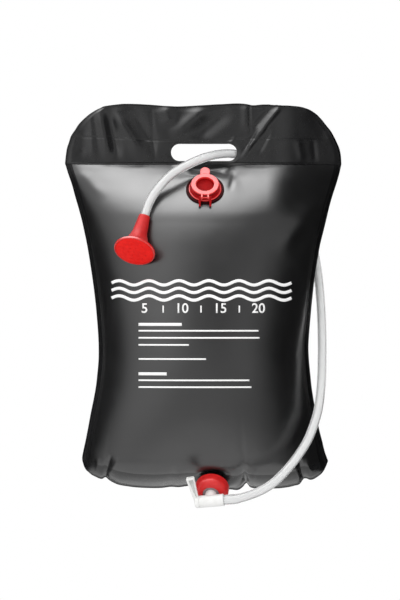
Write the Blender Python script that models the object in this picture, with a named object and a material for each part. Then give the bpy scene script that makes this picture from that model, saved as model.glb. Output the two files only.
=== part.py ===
"""A camp shower bag: a filled black PVC water bag with a plug-capped filler, a tap under a screw collar,
a clear hose and a shower head.

Metres, +Z up. The bag's front faces -Y, and +X is to the right as the front is seen. The origin is the
middle of the handle slot's upper edge, where the bag hangs. The filler, the outlet and the shower head are
each modelled about their own axis, in the frame of an empty that stands on the bag.
"""

import math

import bmesh
import bpy
from mathutils import Matrix, Vector

# Fits shared by the whole assembly
CLEARANCE = 0.0003
CUT_OVERRUN = 0.002
ROUND_SIDES = 32
PIN_SIDES = 16

# Bag: two flat sheets, welded round the edge and filled with water
SHEET = 0.0006
WELD_WIDTH = 0.008
BAG_WIDTH = 0.397
BAG_DEPTH = 0.202
CHAMBER_HEIGHT = 0.470
FLAP_HEIGHT = 0.085
SLOT_LENGTH = 0.095
SLOT_HEIGHT = 0.0245
SLOT_TO_WELD = 0.0035

# Filler, about an axis that stands on the front panel
FILLER_SIDE = 0.0015
FILLER_HEIGHT = 0.431
FILLER_DEPTH = 0.0475
FILLER_RISE = math.radians(40)
FILLER_FLANGE_RADIUS = 0.0274
FILLER_FLANGE_THICKNESS = 0.0017
FILLER_STEP_RADIUS = 0.0233
FILLER_STEP_HEIGHT = 0.0038
NECK_RADIUS = 0.0183
NECK_WALL = 0.0024
NECK_HEIGHT = 0.0086
SEAL_THICKNESS = 0.0011
CAP_RADIUS = 0.020
CAP_THICKNESS = 0.003
CAP_RECESS_RADIUS = 0.0129
CAP_FLOOR = 0.0021
CAP_EDGE = 0.0006
PLUG_FIT = 0.0005
PLUG_TAPER = 0.0005
PLUG_DEPTH = 0.0051
TAB_WIDTH = 0.0138
TAB_REACH = 0.0324
TAB_THICKNESS = 0.002
HINGE_OFFSET = 0.0040
HINGE_PIN_RADIUS = 0.0011
HINGE_KNUCKLE_RADIUS = 0.0023
HINGE_GAP_WIDTH = 0.0068
LUG_WIDTH = 0.0025
PRONG_WIDTH = 0.0028
PRONG_FOOT_REACH = 0.0061
FILLER_SEAT_MARGIN = 0.0026
FILLER_SEAT_REACH = 0.055

# Outlet, about an axis that stands on the front panel near the bottom weld
OUTLET_SIDE = 0.0134
OUTLET_HEIGHT = 0.0125
OUTLET_DEPTH = 0.042
OUTLET_DROP = math.radians(35)
OUTLET_TURN = math.radians(-8)
OUTLET_ROLL = math.radians(6)
OUTLET_FLANGE_RADIUS = 0.018
OUTLET_FLANGE_THICKNESS = 0.0015
SPOUT_RADIUS = 0.0145
SPOUT_BORE_RADIUS = 0.010
SPOUT_LENGTH = 0.0243
THREAD_DEPTH = 0.0010
THREAD_PITCH = 0.003
THREAD_TURNS = 3
GASKET_THICKNESS = 0.002
TAIL_FLANGE_RADIUS = 0.0148
TAIL_FLANGE_THICKNESS = 0.0021
TAIL_RADIUS = 0.008
TAIL_BORE_RADIUS = 0.005
COLLAR_RADIUS = 0.0242
COLLAR_HEIGHT = 0.019
COLLAR_WALL = 0.0022
COLLAR_HOLE_RADIUS = 0.012
COLLAR_DOME_RADIUS = 0.0085
COLLAR_LIP_RADIUS = 0.0016
OUTLET_SEAT_MARGIN = 0.0055
OUTLET_SEAT_SIDE_REACH = 0.048
OUTLET_SEAT_UP_REACH = 0.045
OUTLET_SEAT_DOWN_REACH = 0.0275

# Tap, whose barrel lies across the outlet's axis
BARREL_OFFSET = 0.0215
BARREL_RADIUS = 0.0088
BARREL_LEFT = 0.0145
BARREL_RIGHT = 0.0211
BARREL_EDGE = 0.0009
BARREL_BORE_RADIUS = 0.0063
BARREL_BORE_DEPTH = 0.0285
BARB_END = 0.0390
BARB_RADIUS = 0.0042
BARB_RIDGE = 0.0006
BARB_RIDGES = 3
BARB_BORE_RADIUS = 0.0027
PLUG_RADIUS = 0.0060
PLUG_BORE_RADIUS = 0.0035
PLUG_BORE_DEPTH = 0.0195
PLUG_PORT_RADIUS = 0.0034
PLUG_STEM_RADIUS = 0.0032
PLUG_STEM_LENGTH = 0.0050
PLUG_GROOVE_PLACE = 0.0060
PLUG_GROOVE_WIDTH = 0.0018
PLUG_GROOVE_DEPTH = 0.0012
LEVER_HUB_LENGTH = 0.0065
LEVER_THICKNESS = 0.0052
LEVER_RIB = 0.0014
LEVER_RECESS_DEPTH = 0.0013
LEVER_LENGTH = 0.0440
LEVER_LEAN = 0.0055
LEVER_WIDTH = 0.0120
LEVER_TIP_SLOPE = 0.0050
LEVER_ROOT = 0.0070

# Shower head
HEAD_SIDE = 0.0994
HEAD_DROP = 0.1555
HEAD_STANDOFF = 0.0310
HEAD_NECK_OFFSET = Vector((0.0144, 0.0250, 0.0511))
HEAD_FACE_ELEVATION = math.radians(-52)
HEAD_FACE_TURN = math.radians(16)
HEAD_RADIUS = 0.0298
HEAD_RIM_WALL = 0.0016
HEAD_RIM_DEPTH = 0.0030
HEAD_NECK_RADIUS = 0.0082
HEAD_NECK_BORE_RADIUS = 0.0032
HEAD_SOCKET_DEPTH = 0.014
HEAD_SOCKET_CLEARANCE = 0.0004
FACE_THICKNESS = 0.002
SPRAY_HOLE_RADIUS = 0.0009
SPRAY_RING_SPACING = 0.0085
SPRAY_RINGS = 2
SPRAY_HOLES_PER_RING = 6
SPRAY_HOLE_SIDES = 6

# Hose
HOSE_RADIUS = 0.0065
HOSE_POINTS = 34

# The chamber's profile, from the bottom weld's inner edge to the top weld: shares of the chamber's height,
# of half the bag's width and of half its depth
CHAMBER_SHARES = (
    (0.017, 0.645, 0.0),
    (0.020, 0.660, 0.16),
    (0.028, 0.705, 0.30),
    (0.043, 0.790, 0.435),
    (0.064, 0.862, 0.545),
    (0.096, 0.885, 0.655),
    (0.128, 0.874, 0.735),
    (0.166, 0.856, 0.810),
    (0.223, 0.824, 0.900),
    (0.294, 0.794, 0.965),
    (0.440, 0.758, 1.0),
    (0.570, 0.780, 0.970),
    (0.643, 0.801, 0.930),
    (0.717, 0.831, 0.855),
    (0.790, 0.863, 0.760),
    (0.864, 0.907, 0.615),
    (0.900, 0.932, 0.525),
    (0.937, 0.957, 0.405),
    (0.974, 0.987, 0.218),
    (0.991, 0.997, 0.090),
    (1.0, 1.0, 0.0),
)
BOTTOM_EDGE_WIDTH_SHARE = 0.50

# The flap's outline: shares of the flap's height and of half the bag's width
FLAP_SHARES = (
    (0.0, 1.0),
    (0.16, 0.998),
    (0.36, 0.972),
    (0.57, 0.928),
    (0.77, 0.856),
    (0.89, 0.780),
    (0.96, 0.700),
    (1.0, 0.600),
)

# Columns of each sheet, as shares of its half-width, closer together where fittings stand
FRONT_COLUMN_SHARES = (0, 0.045, 0.09, 0.135, 0.18, 0.24, 0.32, 0.43, 0.56, 0.69, 0.80, 0.89, 0.955, 0.99, 1)
BACK_COLUMN_SHARES = (0, 0.16, 0.32, 0.48, 0.64, 0.78, 0.89, 0.96, 1)
FRONT_ROWS = 28
BACK_ROWS = 20
ROW_EASE_SHARE = 0.5

# The shower head's outer and inner walls: shares of the way from face to neck top, and of the rim's radius
HEAD_OUTER_SHARES = (
    (0.05, 1.0),
    (0.075, 0.975),
    (0.10, 0.92),
    (0.15, 0.81),
    (0.20, 0.71),
    (0.30, 0.575),
    (0.40, 0.485),
    (0.49, 0.415),
    (0.56, 0.372),
    (0.71, 0.33),
    (0.85, 0.298),
)
HEAD_INNER_SHARES = ((0.045, 0.90), (0.10, 0.80), (0.16, 0.66), (0.24, 0.50), (0.34, 0.30))
HEAD_BEND_SHARE = 0.38

# The hose's route from the barb's end to the shower head's socket, as the photograph lays it
HOSE_ROUTE = (
    (0.0645, -0.0897, -0.5034),
    (0.0826, -0.0894, -0.4960),
    (0.0984, -0.0868, -0.4861),
    (0.1128, -0.0825, -0.4729),
    (0.1256, -0.0771, -0.4585),
    (0.1372, -0.0707, -0.4430),
    (0.1473, -0.0635, -0.4271),
    (0.1560, -0.0548, -0.4070),
    (0.1622, -0.0430, -0.3880),
    (0.1680, -0.0250, -0.3500),
    (0.1700, -0.0060, -0.3030),
    (0.1695, 0.0130, -0.2520),
    (0.1660, 0.0310, -0.2000),
    (0.1570, 0.0480, -0.1450),
    (0.1400, 0.0585, -0.0980),
    (0.1150, 0.0560, -0.0560),
    (0.0850, 0.0415, -0.0270),
    (0.0550, 0.0185, -0.0160),
    (0.0290, -0.0055, -0.0140),
    (0.0060, -0.0240, -0.0185),
    (-0.0200, -0.0370, -0.0290),
    (-0.0455, -0.0470, -0.0440),
    (-0.0655, -0.0570, -0.0645),
    (-0.0785, -0.0660, -0.0850),
)


def clear_scene():
    """Remove what the file opens with."""
    for old in list(bpy.data.objects):
        bpy.data.objects.remove(old)


def finish(name, colour, roughness, transmission=0.0):
    """Make a plain moulded or sheet finish."""
    material = bpy.data.materials.new(name)
    material.use_nodes = True
    shader = material.node_tree.nodes["Principled BSDF"]
    shader.inputs["Base Color"].default_value = (*colour, 1.0)
    shader.inputs["Roughness"].default_value = roughness
    shader.inputs["Transmission Weight"].default_value = transmission
    material.diffuse_color = (*colour, 1.0)
    return material


def add_object(name, shape, material, parent=None, smooth=True):
    """Put a bmesh in the scene as a named object."""
    bmesh.ops.recalc_face_normals(shape, faces=shape.faces)
    mesh = bpy.data.meshes.new(name)
    shape.to_mesh(mesh)
    shape.free()
    if smooth:
        mesh.shade_smooth()
        mesh.set_sharp_from_angle(angle=math.radians(35))
    mesh.materials.append(material)
    item = bpy.data.objects.new(name, mesh)
    item.parent = parent
    bpy.context.scene.collection.objects.link(item)
    return item


def add_frame(name, matrix, parent=None):
    """Add an empty that carries the pieces of one fitting."""
    empty = bpy.data.objects.new(name, None)
    empty.parent = parent
    empty.matrix_world = matrix
    bpy.context.scene.collection.objects.link(empty)
    return empty


def combine(item, tool, operation):
    """Join a closed tool to an item, or cut the item with it."""
    tool.hide_render = True
    tool.display_type = "WIRE"
    modifier = item.modifiers.new(tool.name, "BOOLEAN")
    modifier.operation = operation
    modifier.solver = "EXACT"
    modifier.object = tool


def ring(shape, radius, height, sides):
    """Add one ring of vertices about local Z, or a single vertex where the radius is zero."""
    if radius == 0:
        return [shape.verts.new((0, 0, height))]
    turns = [math.tau * step / sides for step in range(sides)]
    return [shape.verts.new((radius * math.cos(turn), radius * math.sin(turn), height)) for turn in turns]


def join_rings(shape, first, second):
    """Fill the band between two rings, either of which may be a single vertex."""
    count = max(len(first), len(second))
    for step in range(count):
        ahead = (step + 1) % count
        corners = [first[step % len(first)], first[ahead % len(first)]]
        corners += [second[ahead % len(second)], second[step % len(second)]]
        shape.faces.new(list(dict.fromkeys(corners)))


def turned(profile, sides=ROUND_SIDES):
    """Turn a profile of (radius, height) points about local Z. A profile off the axis closes on itself."""
    shape = bmesh.new()
    rings = [ring(shape, radius, height, sides) for radius, height in profile]
    for first, second in zip(rings, rings[1:]):
        join_rings(shape, first, second)
    if profile[0][0] > 0:
        join_rings(shape, rings[-1], rings[0])
    return shape


def extruded(outline, low, high):
    """Extrude an outline of (x, y) points along local Z."""
    shape = bmesh.new()
    bottom = [shape.verts.new((x, y, low)) for x, y in outline]
    top = [shape.verts.new((x, y, high)) for x, y in outline]
    shape.faces.new(list(reversed(bottom)))
    shape.faces.new(top)
    join_rings(shape, bottom, top)
    return shape


def arc(centre, radius, start, end, steps):
    """List points on an arc in the plane, with angles in degrees."""
    angles = [math.radians(start + (end - start) * step / steps) for step in range(steps + 1)]
    return [(centre[0] + radius * math.cos(turn), centre[1] + radius * math.sin(turn)) for turn in angles]


def along_x(shape):
    """Lay a shape that was made about local Z along local X."""
    bmesh.ops.transform(shape, matrix=Matrix.Rotation(math.pi / 2, 4, "Y"), verts=shape.verts)
    return shape


def moved(shape, x=0, y=0, z=0):
    """Shift a shape."""
    bmesh.ops.translate(shape, vec=(x, y, z), verts=shape.verts)
    return shape


def rod(radius, low, high, sides=ROUND_SIDES):
    """Make a plain rod along local Z."""
    return turned([(0, low), (radius, low), (radius, high), (0, high)], sides)


def smooth_curve(points, samples):
    """Sample a smooth curve through points of any size, with the same number of samples on each stretch."""
    knots = [0]
    for first, second in zip(points, points[1:]):
        knots.append(knots[-1] + (second - first).length)
    slopes = []
    for place in range(len(points)):
        before = max(place - 1, 0)
        after = min(place + 1, len(points) - 1)
        slopes.append((points[after] - points[before]) / (knots[after] - knots[before]))
    for place in range(1, len(points) - 1):
        left = knots[place] - knots[place - 1]
        right = knots[place + 1] - knots[place]
        back = (points[place] - points[place - 1]) / left
        ahead = (points[place + 1] - points[place]) / right
        slopes[place] = (back * right + ahead * left) / (left + right)
    curve = []
    for place in range(len(points) - 1):
        span = knots[place + 1] - knots[place]
        for step in range(samples):
            t = step / samples
            curve.append(
                points[place] * (2 * t**3 - 3 * t**2 + 1)
                + slopes[place] * (span * (t**3 - 2 * t**2 + t))
                + points[place + 1] * (3 * t**2 - 2 * t**3)
                + slopes[place + 1] * (span * (t**3 - t**2))
            )
    curve.append(points[-1])
    return curve


def spread_along(curve, count, distance, ease=0):
    """Pick points along a sampled curve at even distances, drawn towards both ends by the ease share."""
    travelled = [0]
    for first, second in zip(curve, curve[1:]):
        travelled.append(travelled[-1] + distance(first, second))
    picked = []
    place = 0
    for step in range(count + 1):
        even = step / count
        share = (1 - ease) * even + ease * (1 - math.cos(math.pi * even)) / 2
        wanted = share * travelled[-1]
        while place < len(curve) - 2 and travelled[place + 1] < wanted:
            place += 1
        part = (wanted - travelled[place]) / (travelled[place + 1] - travelled[place])
        picked.append(curve[place].lerp(curve[place + 1], min(part, 1)))
    return picked


def bag_bottom():
    """Height of the sheets' lower edge: the chamber hangs under the handle slot."""
    return -(SLOT_HEIGHT + SLOT_TO_WELD + CHAMBER_HEIGHT)


def chamber_rows(count):
    """Rows of the chamber as (height, half-width, depth), close together near both welds."""
    half_width = BAG_WIDTH / 2
    half_depth = BAG_DEPTH / 2
    points = [
        Vector((height * CHAMBER_HEIGHT, width * half_width, depth * half_depth))
        for height, width, depth in CHAMBER_SHARES
    ]

    def sheet_length(first, second):
        return math.hypot(second[0] - first[0], second[2] - first[2])

    rows = spread_along(smooth_curve(points, 8), count, sheet_length, ROW_EASE_SHARE)
    return [Vector((0, BOTTOM_EDGE_WIDTH_SHARE * half_width, 0)), *rows]


def flap_rows():
    """Rows of the flap above the top weld, as (height, half-width, depth)."""
    return [
        Vector((CHAMBER_HEIGHT + height * FLAP_HEIGHT, width * BAG_WIDTH / 2, 0))
        for height, width in FLAP_SHARES[1:]
    ]


def filler_matrix():
    """Where the filler stands: Z along its axis, Y up the front panel."""
    place = Vector((FILLER_SIDE, -FILLER_DEPTH, bag_bottom() + FILLER_HEIGHT))
    return Matrix.Translation(place) @ Matrix.Rotation(math.pi / 2 - FILLER_RISE, 4, "X")


def outlet_matrix():
    """Where the outlet stands: Z along its axis, X along the tap's barrel, Y up the front panel."""
    place = Vector((OUTLET_SIDE, -OUTLET_DEPTH, bag_bottom() + OUTLET_HEIGHT))
    turn = Matrix.Rotation(OUTLET_TURN, 4, "Z")
    drop = Matrix.Rotation(math.pi / 2 + OUTLET_DROP, 4, "X")
    return Matrix.Translation(place) @ turn @ drop @ Matrix.Rotation(OUTLET_ROLL, 4, "Z")


def fall(distance, flat, reach):
    """Weight that is 1 up to the flat distance and eases to 0 at the reach."""
    part = min(max((distance - flat) / (reach - flat), 0), 1)
    return 1 - part * part * (3 - 2 * part)


def seat(point, frame, flat, side, up, down):
    """Draw a point of the sheet onto the plane that a welded flange holds flat."""
    local = frame.inverted() @ point
    upright = up if local.y > 0 else down
    weight = fall(abs(local.x), flat, side) * fall(abs(local.y), flat, upright)
    local.z *= 1 - weight
    return frame @ local


def seat_front(point):
    """Seat a point of the front panel under the filler's and the outlet's flanges."""
    flat = FILLER_FLANGE_RADIUS + FILLER_SEAT_MARGIN
    reach = FILLER_SEAT_REACH
    point = seat(point, filler_matrix(), flat, reach, reach, reach)
    flat = OUTLET_FLANGE_RADIUS + OUTLET_SEAT_MARGIN
    reaches = (OUTLET_SEAT_SIDE_REACH, OUTLET_SEAT_UP_REACH, OUTLET_SEAT_DOWN_REACH)
    return seat(point, outlet_matrix(), flat, *reaches)


def sheet_surface(rows, column_shares, facing, fit):
    """Outer face of one sheet as a grid, facing -Y where facing is -1 and +Y where it is 1."""
    shape = bmesh.new()
    lip = CLEARANCE / 2 + SHEET
    lines = []
    for height, half_width, depth in rows:
        inner = half_width - WELD_WIDTH
        shares = [-share for share in reversed(column_shares[1:])] + list(column_shares)
        places = [(share * inner, depth * math.sqrt(1 - share * share)) for share in shares]
        places = [(-half_width, 0), *places, (half_width, 0)]
        line = []
        for x, out in places:
            point = Vector((x, facing * (lip + out), bag_bottom() + height))
            line.append(shape.verts.new(fit(point)))
        lines.append(line)
    for below, above in zip(lines, lines[1:]):
        for step in range(len(below) - 1):
            corners = [below[step], below[step + 1], above[step + 1], above[step]]
            shape.faces.new(corners if facing < 0 else list(reversed(corners)))
    return shape


def add_sheet(name, rows, column_shares, facing, fit, material):
    """Add one sheet of the bag, thickened inwards from its outer face, with the handle slot cut through."""
    mesh = bpy.data.meshes.new(name)
    shape = sheet_surface(rows, column_shares, facing, fit)
    shape.to_mesh(mesh)
    shape.free()
    mesh.shade_smooth()
    mesh.materials.append(material)
    sheet = bpy.data.objects.new(name, mesh)
    bpy.context.scene.collection.objects.link(sheet)
    solid = sheet.modifiers.new("sheet", "SOLIDIFY")
    solid.thickness = SHEET
    solid.offset = -1
    solid.use_rim = True
    combine(sheet, slot_cutter(name, material), "DIFFERENCE")
    return sheet


def slot_cutter(name, material):
    """A stadium through both plies, whose upper edge lies at the origin's height."""
    radius = SLOT_HEIGHT / 2
    reach = SLOT_LENGTH / 2 - radius
    outline = arc((reach, -radius), radius, -90, 90, 8) + arc((-reach, -radius), radius, 90, 270, 8)
    shape = extruded(outline, -CUT_OVERRUN, CUT_OVERRUN)
    bmesh.ops.transform(shape, matrix=Matrix.Rotation(math.pi / 2, 4, "X"), verts=shape.verts)
    return add_object(name + "_slot_cutter", shape, material)


def add_bag(black):
    """Add the two sheets and cut the front one for the filler and the outlet."""
    front_rows = chamber_rows(FRONT_ROWS) + flap_rows()
    back_rows = chamber_rows(BACK_ROWS) + flap_rows()
    front = add_sheet("front_panel", front_rows, FRONT_COLUMN_SHARES, -1, seat_front, black)
    add_sheet("back_panel", back_rows, BACK_COLUMN_SHARES, 1, lambda point: point, black)
    reach = SHEET + CUT_OVERRUN
    for name, radius, frame in (
        ("filler", NECK_RADIUS - NECK_WALL, filler_matrix()),
        ("outlet", SPOUT_BORE_RADIUS, outlet_matrix()),
    ):
        hole = add_object(name + "_hole_cutter", rod(radius, -reach, reach), black)
        hole.matrix_world = frame
        combine(front, hole, "DIFFERENCE")


def neck_bore():
    return NECK_RADIUS - NECK_WALL


def hinge_place():
    """Distance of the cap's hinge pin from the filler's axis, and its height over the panel."""
    height = NECK_HEIGHT + SEAL_THICKNESS + 2 * CLEARANCE
    return CAP_RADIUS + HINGE_OFFSET, height + CLEARANCE * 2


def hinge_spans():
    """Inner and outer ends of a lug and of a prong, either side of the middle."""
    lug = HINGE_GAP_WIDTH / 2
    prong = lug + LUG_WIDTH + CLEARANCE
    return (lug, lug + LUG_WIDTH), (prong, prong + PRONG_WIDTH)


def hinge_hole(name, frame, material):
    """A cutter for the pin's hole through lugs or prongs."""
    reach, height = hinge_place()
    half = hinge_spans()[1][1] + CUT_OVERRUN
    hole = along_x(rod(HINGE_PIN_RADIUS + CLEARANCE, -half, half, PIN_SIDES))
    return add_object(name, moved(hole, y=-reach, z=height), material, frame)


def side_plate(outline, low, high):
    """Extrude an outline of (distance down the panel, height over it) points along local X."""
    shape = extruded([(-down, up) for down, up in outline], low, high)
    upright = Matrix(((0, 0, 1, 0), (1, 0, 0, 0), (0, 1, 0, 0), (0, 0, 0, 1)))
    bmesh.ops.transform(shape, matrix=upright, verts=shape.verts)
    return shape


def add_filler_flange(frame, dark_red):
    """Weld flange, step, neck and the two prongs that hold the hinge pin."""
    bore = neck_bore()
    flange_top = CLEARANCE + FILLER_FLANGE_THICKNESS
    profile = [
        (bore, CLEARANCE),
        (FILLER_FLANGE_RADIUS, CLEARANCE),
        (FILLER_FLANGE_RADIUS, flange_top),
        (FILLER_STEP_RADIUS, flange_top + CAP_EDGE),
        (FILLER_STEP_RADIUS, FILLER_STEP_HEIGHT),
        (NECK_RADIUS, FILLER_STEP_HEIGHT + CAP_EDGE),
        (NECK_RADIUS, NECK_HEIGHT),
        (bore, NECK_HEIGHT),
    ]
    flange = add_object("filler_flange", turned(profile), dark_red, frame)
    reach, height = hinge_place()
    knuckle = HINGE_KNUCKLE_RADIUS
    foot = FILLER_FLANGE_RADIUS + PRONG_FOOT_REACH
    root = FILLER_STEP_RADIUS + CAP_EDGE
    outline = [(root, CLEARANCE * 2), (foot, CLEARANCE * 2), (foot, flange_top)]
    outline += arc((reach, height), knuckle, 20, 200, 8)
    for side, sign in (("left", -1), ("right", 1)):
        near, far = hinge_spans()[1]
        low, high = sorted((sign * near, sign * far))
        prong = add_object(side + "_prong", side_plate(outline, low, high), dark_red, frame)
        combine(flange, prong, "UNION")
    combine(flange, hinge_hole("flange_pin_cutter", frame, dark_red), "DIFFERENCE")
    return flange


def add_filler_cap(frame, red):
    """Plug cap: rim, recessed face, plug skirt, pull tab and two lugs, with its origin on the hinge pin."""
    reach, height = hinge_place()
    low = NECK_HEIGHT + SEAL_THICKNESS + 2 * CLEARANCE
    top = low + CAP_THICKNESS
    plug = neck_bore() - PLUG_FIT
    bottom = low - PLUG_DEPTH
    profile = [
        (0, bottom),
        (plug - PLUG_TAPER, bottom),
        (plug, low),
        (CAP_RADIUS, low),
        (CAP_RADIUS, top - CAP_EDGE),
        (CAP_RADIUS - CAP_EDGE, top),
        (CAP_RECESS_RADIUS + CAP_EDGE, top),
        (CAP_RECESS_RADIUS, top - CAP_EDGE),
        (CAP_RECESS_RADIUS - CAP_EDGE, bottom + CAP_FLOOR),
        (0, bottom + CAP_FLOOR),
    ]
    pivot = add_frame("filler_cap_pivot", frame.matrix_world @ Matrix.Translation((0, -reach, height)))
    centre = add_frame("filler_cap_centre", frame.matrix_world, pivot)
    half = TAB_WIDTH / 2
    inner = (CAP_RADIUS + CAP_RECESS_RADIUS) / 2
    tab_middle = (low + top) / 2
    outline = [(half, inner), *arc((0, TAB_REACH - half), half, 0, 180, 10), (-half, inner)]
    tab = extruded(outline, tab_middle - TAB_THICKNESS / 2, tab_middle + TAB_THICKNESS / 2)
    tab = add_object("cap_tab", tab, red, centre)
    cap = add_object("filler_cap", turned(profile), red, centre)
    combine(cap, tab, "UNION")
    round_end = arc((reach, height), HINGE_KNUCKLE_RADIUS, -110, 110, 8)
    shoulder = (CAP_RADIUS + CLEARANCE, low + CLEARANCE)
    lug_outline = [(inner, top - CLEARANCE), (inner, low + CLEARANCE), shoulder, *round_end]
    for side, sign in (("left", -1), ("right", 1)):
        near, far = hinge_spans()[0]
        first, last = sorted((sign * near, sign * far))
        lug = add_object(side + "_lug", side_plate(lug_outline, first, last), red, centre)
        combine(cap, lug, "UNION")
    combine(cap, hinge_hole("cap_pin_cutter", centre, red), "DIFFERENCE")
    seal_low = NECK_HEIGHT + CLEARANCE
    seal_profile = [
        (plug + CLEARANCE, seal_low),
        (CAP_RADIUS - CAP_EDGE, seal_low),
        (CAP_RADIUS - CAP_EDGE, seal_low + SEAL_THICKNESS),
        (plug + CLEARANCE, seal_low + SEAL_THICKNESS),
    ]
    return cap, seal_profile, centre


def add_filler(dark_red, red, rubber):
    """Add the filler's flange, cap, seal and hinge pin."""
    frame = add_frame("filler_frame", filler_matrix())
    bpy.context.view_layer.update()
    add_filler_flange(frame, dark_red)
    _, seal_profile, centre = add_filler_cap(frame, red)
    add_object("filler_seal", turned(seal_profile), rubber, centre)
    reach, height = hinge_place()
    half = hinge_spans()[1][1]
    pin = moved(along_x(rod(HINGE_PIN_RADIUS, -half, half, PIN_SIDES)), y=-reach, z=height)
    add_object("filler_hinge_pin", pin, red, frame)


def outlet_stack():
    """Heights over the panel of the gasket, the tail's flange and the collar's front wall, low and high."""
    gasket = SPOUT_LENGTH + CLEARANCE
    tail = gasket + GASKET_THICKNESS + CLEARANCE
    wall = tail + TAIL_FLANGE_THICKNESS + CLEARANCE
    return (
        (gasket, gasket + GASKET_THICKNESS),
        (tail, tail + TAIL_FLANGE_THICKNESS),
        (wall, wall + COLLAR_WALL),
    )


def barrel_height():
    """Height of the tap's barrel axis over the panel."""
    return SPOUT_LENGTH + BARREL_OFFSET


def add_outlet_flange(frame, black):
    """Weld flange and spout, with thread ridges under the collar."""
    flange_top = CLEARANCE + OUTLET_FLANGE_THICKNESS
    profile = [
        (SPOUT_BORE_RADIUS, CLEARANCE),
        (OUTLET_FLANGE_RADIUS, CLEARANCE),
        (OUTLET_FLANGE_RADIUS, flange_top),
        (SPOUT_RADIUS, flange_top + THREAD_DEPTH),
    ]
    start = SPOUT_LENGTH - THREAD_TURNS * THREAD_PITCH
    for turn in range(THREAD_TURNS):
        low = start + turn * THREAD_PITCH
        profile += [
            (SPOUT_RADIUS, low),
            (SPOUT_RADIUS + THREAD_DEPTH, low + THREAD_PITCH / 3),
            (SPOUT_RADIUS, low + 2 * THREAD_PITCH / 3),
        ]
    profile += [(SPOUT_RADIUS, SPOUT_LENGTH), (SPOUT_BORE_RADIUS, SPOUT_LENGTH)]
    add_object("outlet_flange", turned(profile), black, frame)


def add_collar(frame, red):
    """Domed screw collar, which turns on the spout."""
    (_, _), (_, _), (wall_low, wall_high) = outlet_stack()
    base = wall_high - COLLAR_HEIGHT
    bore = SPOUT_RADIUS + THREAD_DEPTH + CLEARANCE
    dome = COLLAR_DOME_RADIUS
    lip = COLLAR_LIP_RADIUS
    profile = [(bore, base), (COLLAR_RADIUS, base)]
    profile += arc((COLLAR_RADIUS - dome, wall_high - dome), dome, 0, 90, 6)
    profile += arc((COLLAR_HOLE_RADIUS + lip, wall_high - lip), lip, 90, 180, 3)
    profile += [(COLLAR_HOLE_RADIUS, wall_low), (bore, wall_low)]
    add_object("outlet_collar", turned(profile), red, frame)


def add_gasket(frame, rubber):
    """Rubber washer between the spout's end and the tail's flange."""
    low, high = outlet_stack()[0]
    profile = [(SPOUT_BORE_RADIUS, low), (SPOUT_RADIUS, low), (SPOUT_RADIUS, high), (SPOUT_BORE_RADIUS, high)]
    add_object("outlet_gasket", turned(profile), rubber, frame)


def barb_profile():
    """The hose barb, from inside the barrel's end wall to its mouth, ready to lie along X."""
    start = BARREL_RIGHT - BARREL_EDGE
    profile = [(0, start), (BARB_RADIUS, start)]
    spacing = (BARB_END - BARREL_RIGHT) / (BARB_RIDGES + 1)
    for ridge in range(BARB_RIDGES):
        low = BARREL_RIGHT + (ridge + 1) * spacing
        profile += [(BARB_RADIUS, low), (BARB_RADIUS + BARB_RIDGE, low), (BARB_RADIUS, low + spacing / 2)]
    profile += [(BARB_RADIUS, BARB_END), (0, BARB_END)]
    return profile


def add_tap_body(frame, barrel_frame, white):
    """Barrel with its tail, tail flange and hose barb, bored for the plug and the water's way."""
    edge = BARREL_EDGE
    profile = [
        (0, -BARREL_LEFT),
        (BARREL_RADIUS - edge, -BARREL_LEFT),
        (BARREL_RADIUS, edge - BARREL_LEFT),
        (BARREL_RADIUS, BARREL_RIGHT - edge),
        (BARREL_RADIUS - edge, BARREL_RIGHT),
        (0, BARREL_RIGHT),
    ]
    body = add_object("tap_body", along_x(turned(profile)), white, barrel_frame)
    tail_low, tail_high = outlet_stack()[1]
    tail_profile = [
        (0, tail_low),
        (TAIL_FLANGE_RADIUS, tail_low),
        (TAIL_FLANGE_RADIUS, tail_high),
        (TAIL_RADIUS, tail_high),
        (TAIL_RADIUS, barrel_height()),
        (0, barrel_height()),
    ]
    combine(body, add_object("tap_tail", turned(tail_profile), white, frame), "UNION")
    combine(body, add_object("tap_barb", along_x(turned(barb_profile(), PIN_SIDES)), white, barrel_frame), "UNION")
    bore = rod(BARREL_BORE_RADIUS, -BARREL_LEFT - CUT_OVERRUN, BARREL_BORE_DEPTH - BARREL_LEFT)
    combine(body, add_object("barrel_bore_cutter", along_x(bore), white, barrel_frame), "DIFFERENCE")
    barb_bore = rod(BARB_BORE_RADIUS, 0, BARB_END + CUT_OVERRUN, PIN_SIDES)
    combine(body, add_object("barb_bore_cutter", along_x(barb_bore), white, barrel_frame), "DIFFERENCE")
    tail_bore = rod(TAIL_BORE_RADIUS, tail_low - CUT_OVERRUN, barrel_height(), PIN_SIDES)
    combine(body, add_object("tail_bore_cutter", tail_bore, white, frame), "DIFFERENCE")


def plug_span():
    """Where the tap's plug starts and ends along the barrel."""
    return CLEARANCE - BARREL_LEFT, BARREL_BORE_DEPTH - BARREL_LEFT - CLEARANCE


def plug_groove():
    """Where the plug's seal groove starts and ends along the barrel."""
    start = PLUG_GROOVE_PLACE - BARREL_LEFT
    return start, start + PLUG_GROOVE_WIDTH


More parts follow.
